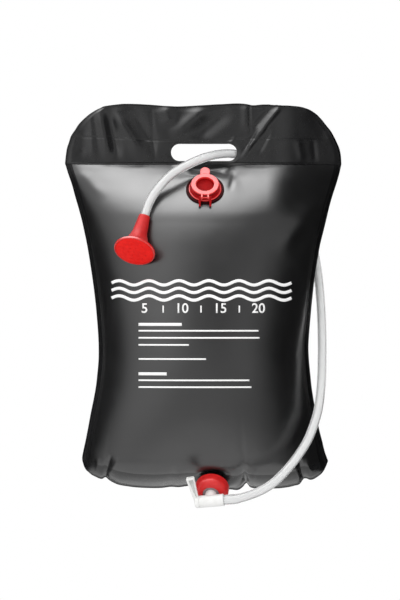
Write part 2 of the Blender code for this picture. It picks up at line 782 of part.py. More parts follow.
def add_tap_plug(turn_frame, white):
    """Hollow plug with a side port, a seal groove and a stem for the lever. It lets water by at 90 degrees."""
    left, right = plug_span()
    groove_start, groove_end = plug_groove()
    stem_end = left - CLEARANCE - PLUG_STEM_LENGTH
    floor = right - PLUG_BORE_DEPTH
    profile = [
        (0, stem_end),
        (PLUG_STEM_RADIUS, stem_end),
        (PLUG_STEM_RADIUS, left),
        (PLUG_RADIUS, left),
        (PLUG_RADIUS, groove_start),
        (PLUG_RADIUS - PLUG_GROOVE_DEPTH, groove_start),
        (PLUG_RADIUS - PLUG_GROOVE_DEPTH, groove_end),
        (PLUG_RADIUS, groove_end),
        (PLUG_RADIUS, right),
        (PLUG_BORE_RADIUS, right),
        (PLUG_BORE_RADIUS, floor),
        (0, floor),
    ]
    plug = add_object("tap_plug", along_x(turned(profile)), white, turn_frame)
    port = rod(PLUG_PORT_RADIUS, 0, PLUG_RADIUS + CUT_OVERRUN, PIN_SIDES)
    bmesh.ops.transform(port, matrix=Matrix.Rotation(math.pi / 2, 4, "X"), verts=port.verts)
    combine(plug, add_object("plug_port_cutter", port, white, turn_frame), "DIFFERENCE")


def add_plug_seal(turn_frame, rubber):
    """O-ring in the plug's groove."""
    start, end = plug_groove()
    inner = PLUG_RADIUS - PLUG_GROOVE_DEPTH + CLEARANCE
    profile = [
        (inner, start + CLEARANCE),
        (PLUG_RADIUS, start + CLEARANCE),
        (PLUG_RADIUS, end - CLEARANCE),
        (inner, end - CLEARANCE),
    ]
    add_object("tap_plug_seal", along_x(turned(profile)), rubber, turn_frame)


def wing_edges(height):
    """Left and right edges of the lever's wing at a height over the barrel's axis."""
    root = -BARREL_LEFT - CLEARANCE - LEVER_RIB / 2
    share = (height - LEVER_ROOT) / (LEVER_LENGTH - LEVER_ROOT)
    right = root + share * (LEVER_WIDTH / 2 - LEVER_LEAN)
    left_root = root - LEVER_HUB_LENGTH + LEVER_RIB
    left_tip = root - LEVER_LEAN - LEVER_WIDTH / 2
    return left_root + share * (left_tip - left_root), right


def wing_outline():
    """The lever's wing in the plane of the barrel's axis, leaning out from the barrel's left end."""
    root_left, root_right = wing_edges(LEVER_ROOT)
    tip_left, tip_right = wing_edges(LEVER_LENGTH)
    return [
        (root_right, -LEVER_ROOT),
        (root_right, LEVER_ROOT),
        (tip_right, LEVER_LENGTH),
        (tip_left, LEVER_LENGTH - LEVER_TIP_SLOPE),
        (root_left, -LEVER_ROOT),
    ]


def recess_outline():
    """The recess in the wing's face, inside its rib and clear of the hub."""
    low = BARREL_RADIUS + LEVER_RIB / 2
    high = LEVER_LENGTH - 2 * LEVER_RIB
    low_left, low_right = wing_edges(low)
    high_left, high_right = wing_edges(high)
    return [
        (low_right - LEVER_RIB, low),
        (high_right - LEVER_RIB, high),
        (high_left + 2 * LEVER_RIB, high - LEVER_TIP_SLOPE),
        (low_left + 2 * LEVER_RIB, low),
    ]


def add_tap_lever(turn_frame, white):
    """Wing lever on the plug's stem: a round hub and a leaning wing with a rib round its recess."""
    hub_right = -BARREL_LEFT - CLEARANCE
    hub_left = hub_right - LEVER_HUB_LENGTH
    edge = LEVER_RIB
    profile = [
        (0, hub_left),
        (BARREL_RADIUS - 2 * edge, hub_left),
        (BARREL_RADIUS - edge / 2, hub_left + edge),
        (BARREL_RADIUS, hub_left + 2 * edge),
        (BARREL_RADIUS, hub_right),
        (0, hub_right),
    ]
    lever = add_object("tap_lever", along_x(turned(profile)), white, turn_frame)
    half = LEVER_THICKNESS / 2
    wing = add_object("lever_wing", extruded(wing_outline(), -half, half), white, turn_frame)
    combine(lever, wing, "UNION")
    inner = recess_outline()
    for side, low, high in (
        ("front", half - LEVER_RECESS_DEPTH, half + CUT_OVERRUN),
        ("back", -half - CUT_OVERRUN, LEVER_RECESS_DEPTH - half),
    ):
        recess = add_object(side + "_recess_cutter", extruded(inner, low, high), white, turn_frame)
        combine(lever, recess, "DIFFERENCE")
    socket_end = plug_span()[0] - CLEARANCE - PLUG_STEM_LENGTH - CLEARANCE
    socket = rod(PLUG_STEM_RADIUS + CLEARANCE, socket_end, hub_right + CUT_OVERRUN)
    combine(lever, add_object("stem_socket_cutter", along_x(socket), white, turn_frame), "DIFFERENCE")


def add_outlet(black, red, white, rubber):
    """Add the outlet's flange, gasket and collar, and the tap that the collar holds."""
    frame = add_frame("outlet_frame", outlet_matrix())
    bpy.context.view_layer.update()
    add_outlet_flange(frame, black)
    add_gasket(frame, rubber)
    add_collar(frame, red)
    place = frame.matrix_world @ Matrix.Translation((0, 0, barrel_height()))
    barrel_frame = add_frame("barrel_frame", place)
    turn_frame = add_frame("tap_turn_frame", place)
    add_tap_body(frame, barrel_frame, white)
    add_tap_plug(turn_frame, white)
    add_plug_seal(turn_frame, rubber)
    add_tap_lever(turn_frame, white)


def panel_depth(x, height):
    """How far the front panel stands out at a place and a height over the bag's lower edge."""
    rows = chamber_rows(FRONT_ROWS)
    below, above = next(pair for pair in zip(rows, rows[1:]) if pair[1][0] >= height)
    _, half_width, depth = below.lerp(above, (height - below[0]) / (above[0] - below[0]))
    share = x / (half_width - WELD_WIDTH)
    return depth * math.sqrt(1 - share * share)


def head_centre():
    """Middle of the shower head's face, in front of the panel that it hangs by."""
    depth = panel_depth(HEAD_SIDE, -HEAD_DROP - bag_bottom()) + HEAD_STANDOFF
    return Vector((-HEAD_SIDE, -depth, -HEAD_DROP))


def head_neck_top():
    """Middle of the shower head's neck where the hose goes in."""
    return head_centre() + HEAD_NECK_OFFSET


def head_normal():
    """Direction that the shower head's face looks in."""
    level = Vector((0, -math.cos(HEAD_FACE_ELEVATION), math.sin(HEAD_FACE_ELEVATION)))
    return Matrix.Rotation(HEAD_FACE_TURN, 3, "Y") @ level


def head_path(share):
    """Centre and direction of the shower head's section, from the face at 0 to the neck's top at 1.

    The rim and the hose's socket are straight, and the dish bends between them.
    """
    length = HEAD_NECK_OFFSET.length
    back = -head_normal()
    rim_share = HEAD_RIM_DEPTH / length
    rim_end = head_centre() + back * HEAD_RIM_DEPTH
    middle = head_centre() + back * length * HEAD_BEND_SHARE
    neck = (head_neck_top() - middle).normalized()
    socket_end = head_neck_top() - neck * HEAD_SOCKET_DEPTH
    if share <= rim_share:
        return head_centre() + back * length * share, back
    if share >= socket_share():
        part = (share - socket_share()) / (1 - socket_share())
        return socket_end.lerp(head_neck_top(), part), neck
    part = (share - rim_share) / (socket_share() - rim_share)
    first = rim_end.lerp(middle, part)
    second = middle.lerp(socket_end, part)
    return first.lerp(second, part), (second - first).normalized()


def head_section(shape, share, radius):
    """Add one ring of the shower head's wall."""
    centre, direction = head_path(share)
    side = direction.cross(Vector((0, 1, 0))).normalized()
    other = direction.cross(side)
    turns = [math.tau * step / ROUND_SIDES for step in range(ROUND_SIDES)]
    places = [centre + radius * (math.cos(turn) * side + math.sin(turn) * other) for turn in turns]
    return [shape.verts.new(place) for place in places]


def socket_share():
    """Share of the shower head's path at which the hose's socket ends."""
    return 1 - HEAD_SOCKET_DEPTH / HEAD_NECK_OFFSET.length


def add_shower_head(red):
    """Add the shower head's hollow body, and the spray plate that closes it."""
    shape = bmesh.new()
    seat_radius = HEAD_RADIUS - HEAD_RIM_WALL
    length = HEAD_NECK_OFFSET.length
    ledge = (FACE_THICKNESS + CLEARANCE) / length
    socket = HOSE_RADIUS + HEAD_SOCKET_CLEARANCE
    sections = [(0, HEAD_RADIUS)]
    sections += [(share, width * HEAD_RADIUS) for share, width in HEAD_OUTER_SHARES]
    sections += [(1, HEAD_NECK_RADIUS), (1, socket), (socket_share(), socket)]
    sections += [(socket_share(), HEAD_NECK_BORE_RADIUS)]
    sections += [(share, width * HEAD_RADIUS) for share, width in reversed(HEAD_INNER_SHARES)]
    sections += [(ledge, HEAD_INNER_SHARES[0][1] * HEAD_RADIUS), (ledge, seat_radius), (0, seat_radius)]
    rings = [head_section(shape, share, radius) for share, radius in sections]
    for place, first in enumerate(rings):
        join_rings(shape, first, rings[(place + 1) % len(rings)])
    add_object("shower_head_body", shape, red)
    frame = head_normal().to_track_quat("Z", "Y").to_matrix().to_4x4()
    frame = add_frame("head_frame", Matrix.Translation(head_centre()) @ frame)
    add_spray_plate(frame, seat_radius - CLEARANCE, red)


def add_spray_plate(frame, radius, red):
    """Spray plate with rings of holes."""
    plate = add_object("shower_head_face", rod(radius, -FACE_THICKNESS, 0), red, frame)
    low = -FACE_THICKNESS - CUT_OVERRUN
    holes = bmesh.new()
    places = [(0, 0)]
    for number in range(1, SPRAY_RINGS + 1):
        count = number * SPRAY_HOLES_PER_RING
        for step in range(count):
            turn = math.tau * step / count
            reach = number * SPRAY_RING_SPACING
            places.append((reach * math.cos(turn), reach * math.sin(turn)))
    for x, y in places:
        bottom = []
        top = []
        for step in range(SPRAY_HOLE_SIDES):
            turn = math.tau * step / SPRAY_HOLE_SIDES
            across = x + SPRAY_HOLE_RADIUS * math.cos(turn)
            upward = y + SPRAY_HOLE_RADIUS * math.sin(turn)
            bottom.append(holes.verts.new((across, upward, low)))
            top.append(holes.verts.new((across, upward, CUT_OVERRUN)))
        holes.faces.new(list(reversed(bottom)))
        holes.faces.new(top)
        join_rings(holes, bottom, top)
    cutter = add_object("spray_hole_cutter", holes, red, frame, smooth=False)
    combine(plate, cutter, "DIFFERENCE")


def hose_ends():
    """The hose's first two and last two points, straight on the barb's axis and in the head's socket."""
    tap = outlet_matrix()
    start = tap @ Vector((BARB_END + CLEARANCE, 0, barrel_height()))
    lead = tap @ Vector((BARB_END + HOSE_RADIUS, 0, barrel_height()))
    socket_end, neck = head_path(socket_share())
    return [start, lead], [head_neck_top(), socket_end + neck * CLEARANCE]


def hose_points():
    """Even points along the smooth route, with the straight ends kept."""
    first, last = hose_ends()
    route = [Vector(point) for point in HOSE_ROUTE]
    dense = smooth_curve([*first, *route, *last], 12)
    points = spread_along(dense, HOSE_POINTS, lambda one, other: (other - one).length)
    return [*first, *points[1:-1], *last]


def add_hose(clear):
    """Add the hose as a round tube along its smooth route."""
    curve = bpy.data.curves.new("hose", "CURVE")
    curve.dimensions = "3D"
    curve.bevel_depth = HOSE_RADIUS
    curve.bevel_resolution = 3
    curve.use_fill_caps = True
    points = hose_points()
    spline = curve.splines.new("POLY")
    spline.points.add(len(points) - 1)
    for place, point in zip(spline.points, points):
        place.co = (*point, 1)
    spline.use_smooth = True
    curve.materials.append(clear)
    hose = bpy.data.objects.new("hose", curve)
    bpy.context.scene.collection.objects.link(hose)


def main():
    clear_scene()
    black = finish("black_pvc", (0.018, 0.018, 0.020), 0.38)
    red = finish("red_moulding", (0.72, 0.03, 0.03), 0.35)
    dark_red = finish("dark_red_moulding", (0.20, 0.01, 0.015), 0.35)
    white = finish("white_moulding", (0.82, 0.82, 0.80), 0.40)
    rubber = finish("black_rubber", (0.02, 0.02, 0.02), 0.7)
    clear = finish("clear_pvc", (0.86, 0.88, 0.88), 0.12, 0.8)
    add_bag(black)
    add_filler(dark_red, red, rubber)
    add_outlet(black, red, white, rubber)
    add_shower_head(red)
    add_hose(clear)


main()
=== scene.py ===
"""Looks of the camp shower bag: welded PVC skins, generic print, clear hose, moulded fittings, white studio.

Metres, +Z up, front facing -Y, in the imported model's frame: its origin is the middle of the handle slot's
upper edge. Outlines that were measured in the photograph are written in its pixels, which at() turns into
metres. The filler and the outlet are made about their own axis, as in the CAD model.
"""

import math

import bmesh
import bpy
import numpy as np
from mathutils import Matrix, Vector
from mathutils.bvhtree import BVHTree


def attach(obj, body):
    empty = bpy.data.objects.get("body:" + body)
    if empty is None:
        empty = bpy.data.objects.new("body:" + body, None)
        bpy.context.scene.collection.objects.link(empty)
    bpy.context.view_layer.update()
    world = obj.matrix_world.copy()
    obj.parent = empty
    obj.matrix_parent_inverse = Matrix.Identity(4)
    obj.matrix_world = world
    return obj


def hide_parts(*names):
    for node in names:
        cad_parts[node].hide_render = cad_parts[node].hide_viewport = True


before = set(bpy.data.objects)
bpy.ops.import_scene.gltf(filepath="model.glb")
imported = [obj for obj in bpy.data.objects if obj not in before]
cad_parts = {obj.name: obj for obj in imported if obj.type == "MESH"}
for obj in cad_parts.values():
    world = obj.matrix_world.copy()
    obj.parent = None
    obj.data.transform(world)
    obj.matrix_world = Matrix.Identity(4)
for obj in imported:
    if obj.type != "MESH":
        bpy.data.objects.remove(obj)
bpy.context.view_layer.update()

# The photograph's scale in the plane of the welds, and the pixel of the frame's origin
PIXEL = 0.00144
ORIGIN_PX = (204.0, 144.0)
IMAGE_PX = (400, 600)

# Camera
CAMERA_DISTANCE = 10.0
CAMERA_CLIP_END = 100.0
SENSOR = 36

# Light on all surfaces: direction, cosines where it starts and is full, and its strength at both
SOFT_LIGHT = ((-0.30, -0.85, 0.43), -0.3, 1.0, 0.50, 1.50)

# Soft boxes that gloss sees: direction, cosines where each starts and is full, and strength
BOXES = {
    "front": ((-0.30, -0.954, 0), 0.0, 0.75, 0.56),
    "front, darker towards the upper right": ((0.20, -0.915, 0.35), 0.84, 0.98, -0.27),
    "left": ((-0.77, -0.64, 0), 0.80, 0.98, 0.20),
    "right": ((0.70, -0.67, 0.24), 0.86, 0.98, 0.13),
    "high left": ((-0.52, -0.72, 0.46), 0.84, 0.97, 0.42),
    "above": ((-0.22, 0, 0.975), 0.50, 1.25, 7.3),
    "low left": ((-0.51, 0, -0.86), 0.75, 0.97, 1.0),
    "white behind": ((0, 1, 0), 0.85, 0.97, 1.0),
}

# Where a box fades out: direction, and cosines where the fade starts and ends
BOX_FADES = {
    "front": (((0, 1, 0), -0.25, 0.15),),
    "above": (((0, 1, 0), 0.62, 0.90), ((1, 0.28, 0), 0.0, 0.55)),
}
ROOM_LIGHT = 0.02

# Floor, and how much of it is plain white where it is seen and not lit
FLOOR_DEPTH = 1.1
FLOOR_RADIUS = 1.1
FLOOR_COLOUR = (0.86, 0.86, 0.86, 1)
FLOOR_ROUGHNESS = 0.9
FLOOR_SPECULAR = 0.1
FLOOR_WHITE_SHARE = 0.5

# Bag: its skins are grids, whose outer columns and topmost rows have the weld's finish, and whose lowest rows
# have the flap's
SHEET = 0.0006
CHAMBER_TOP = -0.028
HALF_DEPTH = 0.101
SIDE_POWER = 1.12
RIM_WIDTH = 0.0052
RIM_COLUMNS = 18
BOTTOM_ROWS = 15
TOP_EDGE_ROWS = 3
SHEET_KIND = 0
FLAP_KIND = 1
WELD_KIND = 2
RIM_CURL = 0.0058
RIM_CURL_FADE = 0.030
SLOT_LENGTH = 0.095
SLOT_HEIGHT = 0.0245
SLOT_STEPS = 24
CUT_REACH = 0.010
PLY_PUFF = 0.0011
WELD_LINE_WIDTH = 0.0022
WELD_LINE_ROWS = 3
WELD_LINE_SHARE = 0.45
FLAP_EDGE_EASE = 0.008
EDGE_WELD_WIDTH = 0.002
COLUMNS = 240
CHAMBER_ROWS = 300
FLAP_ROWS = 110
ROW_PULL_SHARE = 0.12
BULGE_FADE = 3
NOTCH_FADE = 14
NOTCH_BLUR_PX = 14
CREASE_TAPER = 3

# The upper right corner bends backwards: columns where the bend starts and is full, rows where it fades in
BEND_SPAN_PX = (266, 296)
BEND_FADE_PX = (226, 182)
BEND_SLOPE = 0.62
BEND_BACK_SHARE = 0.55

# The fold that hangs below the top weld under the slot
FOLD_HEIGHT = 0.0013
FOLD_ROWS = 6
FOLD_REACH = 0.030

# Hose
HOSE_RADIUS = 0.0065
HOSE_BORE_RADIUS = 0.0045
HOSE_STRETCH = 0.0006
HOSE_RIDGE = 0.0003
HOSE_RIDGE_LENGTH = 0.0012
HOSE_SIDES = 36
HOSE_RINGS = 340
HOSE_CURVE_STEPS = 10
HOSE_GAP = 0.0004
HOSE_TRANSMISSION = 0.72
HOSE_IOR = 1.18
# Painted shade on the milky bore: facing values over which it greys towards its edges, and the share of its
# colour left at the edges
HOSE_EDGE_SPAN = (0.28, 0.80)
HOSE_PAINTED_EDGE_SHADE = 0.12

# Moulded fittings
SIDES = 96
EDGE = 0.0005
CORNER_STEPS = 4
CORNER_SHARE = 0.45
VOXEL = 0.00035
SOFTEN_SHARE = 0.5
SOFTEN_ROUNDS = 5
CLEARANCE = 0.0003

# Filler: heights stand on the panel, about the neck's axis
FILLER_PLACE = Vector((0.0015, -0.0475, -0.067))
FILLER_TILT = math.radians(50)
FLANGE_RADIUS = 0.0274
FLANGE_TOP = 0.0020
STEP_RADIUS = 0.0233
STEP_TOP = 0.0038
NECK_RADIUS = 0.0183
NECK_BORE_RADIUS = 0.0159
NECK_TOP = 0.0086
CAP_RADIUS = 0.020
CAP_LOW = 0.0103
CAP_TOP = 0.0133
CAP_RECESS_RADIUS = 0.0129
CAP_FLOOR = 0.0073
PLUG_RADIUS = 0.0154
PLUG_LOW = 0.0052
TAB_HALF = 0.0069
TAB_REACH = 0.0324
TAB_THICKNESS = 0.002
TAB_STEPS = 16
HINGE_REACH = 0.0240
HINGE_HEIGHT = 0.0109
KNUCKLE_RADIUS = 0.0023
KNUCKLE_STEPS = 12
LUG_ARC = (-110, 110)
PRONG_ARC = (20, 200)
LUG_SPAN = (0.0034, 0.0059)
PRONG_SPAN = (0.0062, 0.0090)
PRONG_ROOT = 0.0239
PRONG_FOOT = 0.0335

# The skin lies flat under each flange, and eases back to its own shape at a reach to the side, up and down
SEAT_RING = 0.0016
FILLER_FLAT = 0.0285
FILLER_REACHES = (0.060, 0.050, 0.048)
OUTLET_FLAT = 0.0187
OUTLET_REACHES = (0.040, 0.0250, 0.0300)

# Outlet: heights stand on the panel, about the spout's axis
OUTLET_PLACE = Vector((0.0134, -0.042, -0.4855))
OUTLET_TURN = math.radians(-8)
OUTLET_TILT = math.radians(125)
OUTLET_ROLL = math.radians(6)
COLLAR_BORE_RADIUS = 0.0158
COLLAR_RADIUS = 0.0242
COLLAR_BASE = 0.0125
COLLAR_WALL_LOW = 0.0293
COLLAR_TOP = 0.0315
COLLAR_HOLE_RADIUS = 0.012
COLLAR_DOME_RADIUS = 0.0085
COLLAR_DOME_STEPS = 16
COLLAR_LIP_RADIUS = 0.0016
COLLAR_LIP_STEPS = 8
COLLAR_SHARP = math.radians(60)

# Tap: its barrel lies across the spout's axis, and the lever's wing stands up from the barrel's left end
TAIL_LOW = 0.0269
TAIL_TOP = 0.0290
TAIL_FLANGE_RADIUS = 0.0148
TAIL_RADIUS = 0.008
TAIL_BORE_RADIUS = 0.005
BARREL_HEIGHT = 0.0458
BARREL_RADIUS = 0.0088
BARREL_LEFT = 0.0145
BARREL_RIGHT = 0.0211
BARREL_EDGE = 0.0016
BARREL_BORE_RADIUS = 0.0063
BARREL_BORE_END = 0.0140
BARB_END = 0.0390
BARB_RADIUS = 0.0042
BARB_RIDGE = 0.0006
BARB_RIDGES = 3
BARB_SPACING = (BARB_END - BARREL_RIGHT) / (BARB_RIDGES + 1)
BARB_BORE_RADIUS = 0.0027
HUB_RIGHT = -0.0146
HUB_LEFT = -0.0213
HUB_ROUND = 0.0060
HUB_STEPS = 8
WING_HALF = 0.0026
WING_ROOT = 0.0070
WING_LENGTH = 0.0440
WING_LEAN = 0.0055
WING_WIDTH = 0.0120
WING_TIP_SLOPE = 0.0008
WING_CORNER = 0.0020
WING_RIB = 0.0014
WING_RECESS = 0.0013
STEM_SOCKET_RADIUS = 0.0035
STEM_SOCKET_END = -0.0201

# Shower head
HEAD_CENTRE = Vector((-0.0994, -0.096996, -0.1555))
HEAD_NORMAL = Vector((-0.217205, -0.615661, -0.757485))
HEAD_NECK_TOP = Vector((-0.0850, -0.071996, -0.1044))
HEAD_RADIUS = 0.0298
HEAD_RIM_WALL = 0.0016
HEAD_RIM_DEPTH = 0.0030
HEAD_NECK_RADIUS = 0.0082
HEAD_SOCKET_RADIUS = 0.0069
HEAD_SOCKET_DEPTH = 0.014
HEAD_BEND_SHARE = 0.38
HEAD_SECTIONS = 40
HEAD_SPAN_SHARES = (0.1, 0.96)
HEAD_SHARP = math.radians(50)
FACE_RADIUS = 0.0279
FACE_THICKNESS = 0.002
FACE_DOME = 0.0009
FACE_SECTIONS = 18
FACE_SPAN_SHARES = (0.97, 0.05)
FACE_SHARP = math.radians(40)
SPRAY_HOLE_RADIUS = 0.0007
SPRAY_RING_SPACING = 0.0085
SPRAY_RINGS = 2
SPRAY_HOLES_PER_RING = 6
SPRAY_HOLE_SIDES = 12

# Print: ink on the front skin, laid on from in front
INK_THICKNESS = 0.00025
INK_PROUD = 0.00012
INK_FROM = 1.0
WAVE_ROWS_PX = (283, 290.5, 298)
WAVE_SPAN_PX = (112, 291)
WAVE_LENGTH_PX = 29.8
WAVE_HEIGHT_PX = 2.2
WAVE_HALF_PX = 1.5
WAVE_STEPS = 180
NUMBER_ROW_PX = 312.6
NUMBER_HEIGHT_PX = 13.5
NUMBER_PLACES_PX = ((5, 145), (10, 182), (15, 220), (20, 258))
TICK_SPAN_PX = (305.5, 312.5)
TICK_HALF_PX = 0.7
TICK_STEPS = 4
BAR_STEP_PX = 2

# Bars of the print: pixel row, left and right end, and half-height
BARS_PX = (
    (324.2, 139, 182, 1.5), (330.5, 139, 258, 0.8), (337.5, 139, 259, 0.8), (344.5, 139, 189, 0.8),
    (358.5, 139, 206, 0.8), (373.2, 139, 167, 1.5), (379.6, 139, 249, 0.8), (386.4, 139, 251, 0.8),
)

# Left and right edges of the bag: pixel row, left pixel and right pixel
FLAP_EDGES_PX = (
    (104.8, 122, 287), (106, 108, 297), (108.5, 100, 307), (112, 93, 314), (118, 85, 321),
    (124, 79, 326), (130, 75, 331), (136, 71, 334.5), (142, 69, 337.5), (148, 67, 340),
    (154, 66, 341.3), (163.4, 65, 342),
)
CHAMBER_EDGES_PX = (
    (163.4, 65, 342), (172, 67.8, 340), (184, 72, 336.5), (196, 75.3, 332.5), (208, 78.8, 329),
    (220, 82, 326), (232, 84.7, 323), (244, 87.2, 320), (256, 89.3, 317.8), (268, 91.2, 315.7),
    (280, 93, 314), (292, 94.6, 312.7), (304, 96, 311.4), (316, 97.1, 310.3), (328, 98.1, 309.2),
    (346, 98.9, 308.2), (358, 98.7, 308.8), (370, 97.6, 310), (382, 96.2, 311.3), (394, 94, 313.2),
    (409, 90.8, 316.2), (424, 88, 319), (436, 85.7, 322), (448, 83.4, 324.6), (455, 82.4, 326.5),
    (461, 82.6, 328),
)

# Bottom edge of the bag, from the left corner to the right one
BOTTOM_EDGE_PX = (
    (82.6, 461), (84.5, 467), (89, 472.5), (96, 477), (102.5, 478.8), (105.5, 477.2), (109, 480),
    (116, 483.8), (128, 486.4), (148, 488), (163, 487.8), (171, 486.8), (178, 487.2), (190, 485.8),
    (204, 487), (218, 488.6), (230, 489.4), (240.5, 488.8), (243.8, 485.8), (246.2, 482.8),
    (249.5, 486.6), (256, 488.4), (270, 488.6), (284, 487.8), (294, 485.8), (300.5, 483.2),
    (303.6, 478.8), (306, 478.4), (310, 479.8), (317.5, 476.8), (325, 468.5), (328, 461),
)

# The chamber's depth: shares of its height, from the bottom, and of the half-depth
DEPTH_SHARES = (
    (0.0, 0.0), (0.004, 0.0), (0.008, 0.14), (0.016, 0.29), (0.028, 0.43), (0.045, 0.55),
    (0.064, 0.628), (0.096, 0.700), (0.128, 0.760), (0.166, 0.822), (0.223, 0.900), (0.294, 0.965),
    (0.440, 1.0), (0.520, 0.985), (0.591, 0.955), (0.655, 0.930), (0.711, 0.892), (0.766, 0.838),
    (0.811, 0.772), (0.851, 0.696), (0.879, 0.612), (0.900, 0.532), (0.917, 0.456), (0.932, 0.382),
    (0.953, 0.274), (0.9745, 0.155), (0.989, 0.072), (0.997, 0.018), (1.0, 0.0),
)

# Shower head's outside and inside: shares of the way from rim to neck top and of the rim's radius
HEAD_SHARES = (
    (0.0, 0.965), (0.006, 0.990), (0.015, 1.0), (0.042, 1.0), (0.052, 0.994), (0.064, 0.976),
    (0.100, 0.900), (0.150, 0.790), (0.200, 0.690), (0.300, 0.570), (0.400, 0.485), (0.490, 0.415),
    (0.560, 0.372), (0.710, 0.330), (0.850, 0.298), (0.960, 0.278), (0.990, 0.270),
)
HEAD_INNER_SHARES = ((0.34, 0.30), (0.24, 0.50), (0.16, 0.64), (0.10, 0.78), (0.045, 0.90))

# The hose's route as in the CAD model, from the barb to the shower head
HOSE_ROUTE = (
    (0.0645, -0.0897, -0.5034), (0.0826, -0.0894, -0.4960), (0.0984, -0.0868, -0.4861),
    (0.1128, -0.0825, -0.4729), (0.1256, -0.0771, -0.4585), (0.1372, -0.0707, -0.4430),
    (0.1473, -0.0635, -0.4271), (0.1560, -0.0548, -0.4070), (0.1622, -0.0430, -0.3880),
    (0.1680, -0.0250, -0.3500), (0.1700, -0.0060, -0.3030), (0.1695, 0.0130, -0.2520),
    (0.1660, 0.0310, -0.2000), (0.1570, 0.0480, -0.1450), (0.1400, 0.0585, -0.0980),
    (0.1150, 0.0560, -0.0560), (0.0850, 0.0415, -0.0270), (0.0550, 0.0185, -0.0160),
    (0.0290, -0.0055, -0.0140), (0.0060, -0.0240, -0.0185), (-0.0200, -0.0370, -0.0290),
    (-0.0455, -0.0470, -0.0440), (-0.0655, -0.0570, -0.0645), (-0.0785, -0.0660, -0.0850),
)

# Frames of the filler and the outlet on the front panel, as in the CAD model
FILLER_FRAME = Matrix.Translation(FILLER_PLACE) @ Matrix.Rotation(FILLER_TILT, 4, "X")
OUTLET_FRAME = (
    Matrix.Translation(OUTLET_PLACE)
    @ Matrix.Rotation(OUTLET_TURN, 4, "Z")
    @ Matrix.Rotation(OUTLET_TILT, 4, "X")
    @ Matrix.Rotation(OUTLET_ROLL, 4, "Z")
)
BARREL_FRAME = OUTLET_FRAME @ Matrix.Translation((0, 0, BARREL_HEIGHT))

# How much the flap's top edge rises along its width: pixel column and rise in pixels
FLAP_WAVE_PX = (
    (60, 0.0), (105, 0.4), (130, 1.0), (150, 0.1), (172, -1.6), (195, -0.9), (220, 0.6), (245, 0.9),
    (252, -0.4), (262, 0.3), (284, -0.6), (300, 0.2), (350, 0.0),
)

# The weld line above the slot: pixel column and row
FLAP_LINE_PX = (
    (60, 137.0), (73, 137.1), (110, 138.0), (127, 139.0), (152, 140.4), (169, 140.9), (204, 141.2),
    (228, 140.2), (240, 138.6), (262, 138.8), (300, 139.4), (350, 139.4),
)

# How far the fold under the slot hangs below the top weld: pixel column and drop in pixels
FOLD_DROP_PX = (
    (60, 0.0), (184, 0.0), (188, 1.6), (192, 4.0), (198, 5.3), (205, 5.6), (212, 5.3), (220, 4.0),
    (227, 2.4), (234, 1.2), (243, 0.5), (252, 0.0), (350, 0.0),
)

# Creases: start and end pixel, half-width in pixels, and height in metres, below zero for a valley
FLAP_CREASES_PX = (
    ((98, 103), (110, 164), 5.0, 0.0048), ((107, 103), (119, 164), 5.0, -0.0044),
    ((112, 108), (147, 162), 5.5, 0.0052), ((127, 104), (158, 152), 6.0, -0.0038),
    ((151, 104), (155, 165), 1.6, -0.0017), ((164, 102), (172, 128), 7.0, 0.0044),
    ((209, 106), (170, 138), 7.0, 0.0052), ((232, 108), (192, 140), 8.0, -0.0042),
    ((249, 100), (250, 136), 1.2, -0.0022), ((246, 100), (246, 134), 4.0, 0.0017),
    ((284, 102), (254, 139), 2.4, 0.0032), ((276, 102), (250, 132), 3.0, -0.0025),
    ((262, 127), (246, 153), 1.3, 0.0025), ((257, 128), (243, 152), 1.1, -0.0022),
    ((268, 124), (250, 148), 1.5, 0.0021), ((272, 128), (257, 156), 2.0, -0.0017),
    ((254, 140), (240, 162), 1.5, 0.0021), ((297, 136), (303, 164), 3.5, 0.0014),
    ((310, 106), (331, 140), 9.0, -0.0025), ((313, 136), (316, 164), 2.6, -0.0014),
    ((236, 136), (228, 147), 1.6, 0.0018), ((84, 116), (80, 164), 6.0, -0.0020),
    ((90, 110), (94, 164), 3.0, 0.0014),
)
FRONT_CREASES_PX = (
    ((236, 169), (229, 194), 2.2, -0.0015), ((74, 163), (108, 200), 6.0, 0.0020),
    ((322, 192), (276, 256), 9.0, 0.0024), ((326, 206), (290, 262), 7.0, -0.0016),
    ((104, 480), (112, 452), 2.4, -0.0024), ((110, 478), (120, 455), 2.6, 0.0014),
    ((97, 478), (98, 455), 2.4, 0.0012), ((245, 486), (247, 462), 2.0, -0.0026),
    ((251, 484), (256, 466), 2.4, 0.0012), ((171, 490), (174, 464), 2.2, -0.0018),
    ((179, 490), (181, 468), 2.0, 0.0012), ((304, 482), (296, 452), 2.6, -0.0030),
    ((311, 476), (306, 456), 2.8, 0.0014), ((311, 349), (294, 356), 2.8, -0.0011),
    ((313, 377), (296, 371), 2.8, -0.0010), ((312, 363), (298, 364), 3.6, 0.0007),
    ((97, 330), (110, 334), 3.0, -0.0014),
)
BACK_CREASES_PX = (
    ((104, 480), (114, 448), 2.6, -0.0024), ((245, 486), (243, 458), 2.4, -0.0026),
    ((171, 490), (174, 464), 2.2, -0.0018), ((304, 482), (294, 450), 2.8, -0.0030),
    ((90, 166), (122, 214), 7.0, -0.0020), ((128, 162), (134, 198), 5.0, -0.0018),
    ((170, 162), (172, 192), 5.0, 0.0014), ((236, 162), (230, 196), 5.0, -0.0018),
    ((284, 162), (276, 204), 5.0, -0.0020), ((320, 170), (286, 226), 8.0, 0.0022),
    ((311, 349), (290, 356), 3.0, -0.0022), ((97, 340), (114, 348), 3.0, -0.0022),
    ((98, 366), (118, 362), 3.4, -0.0018),
)

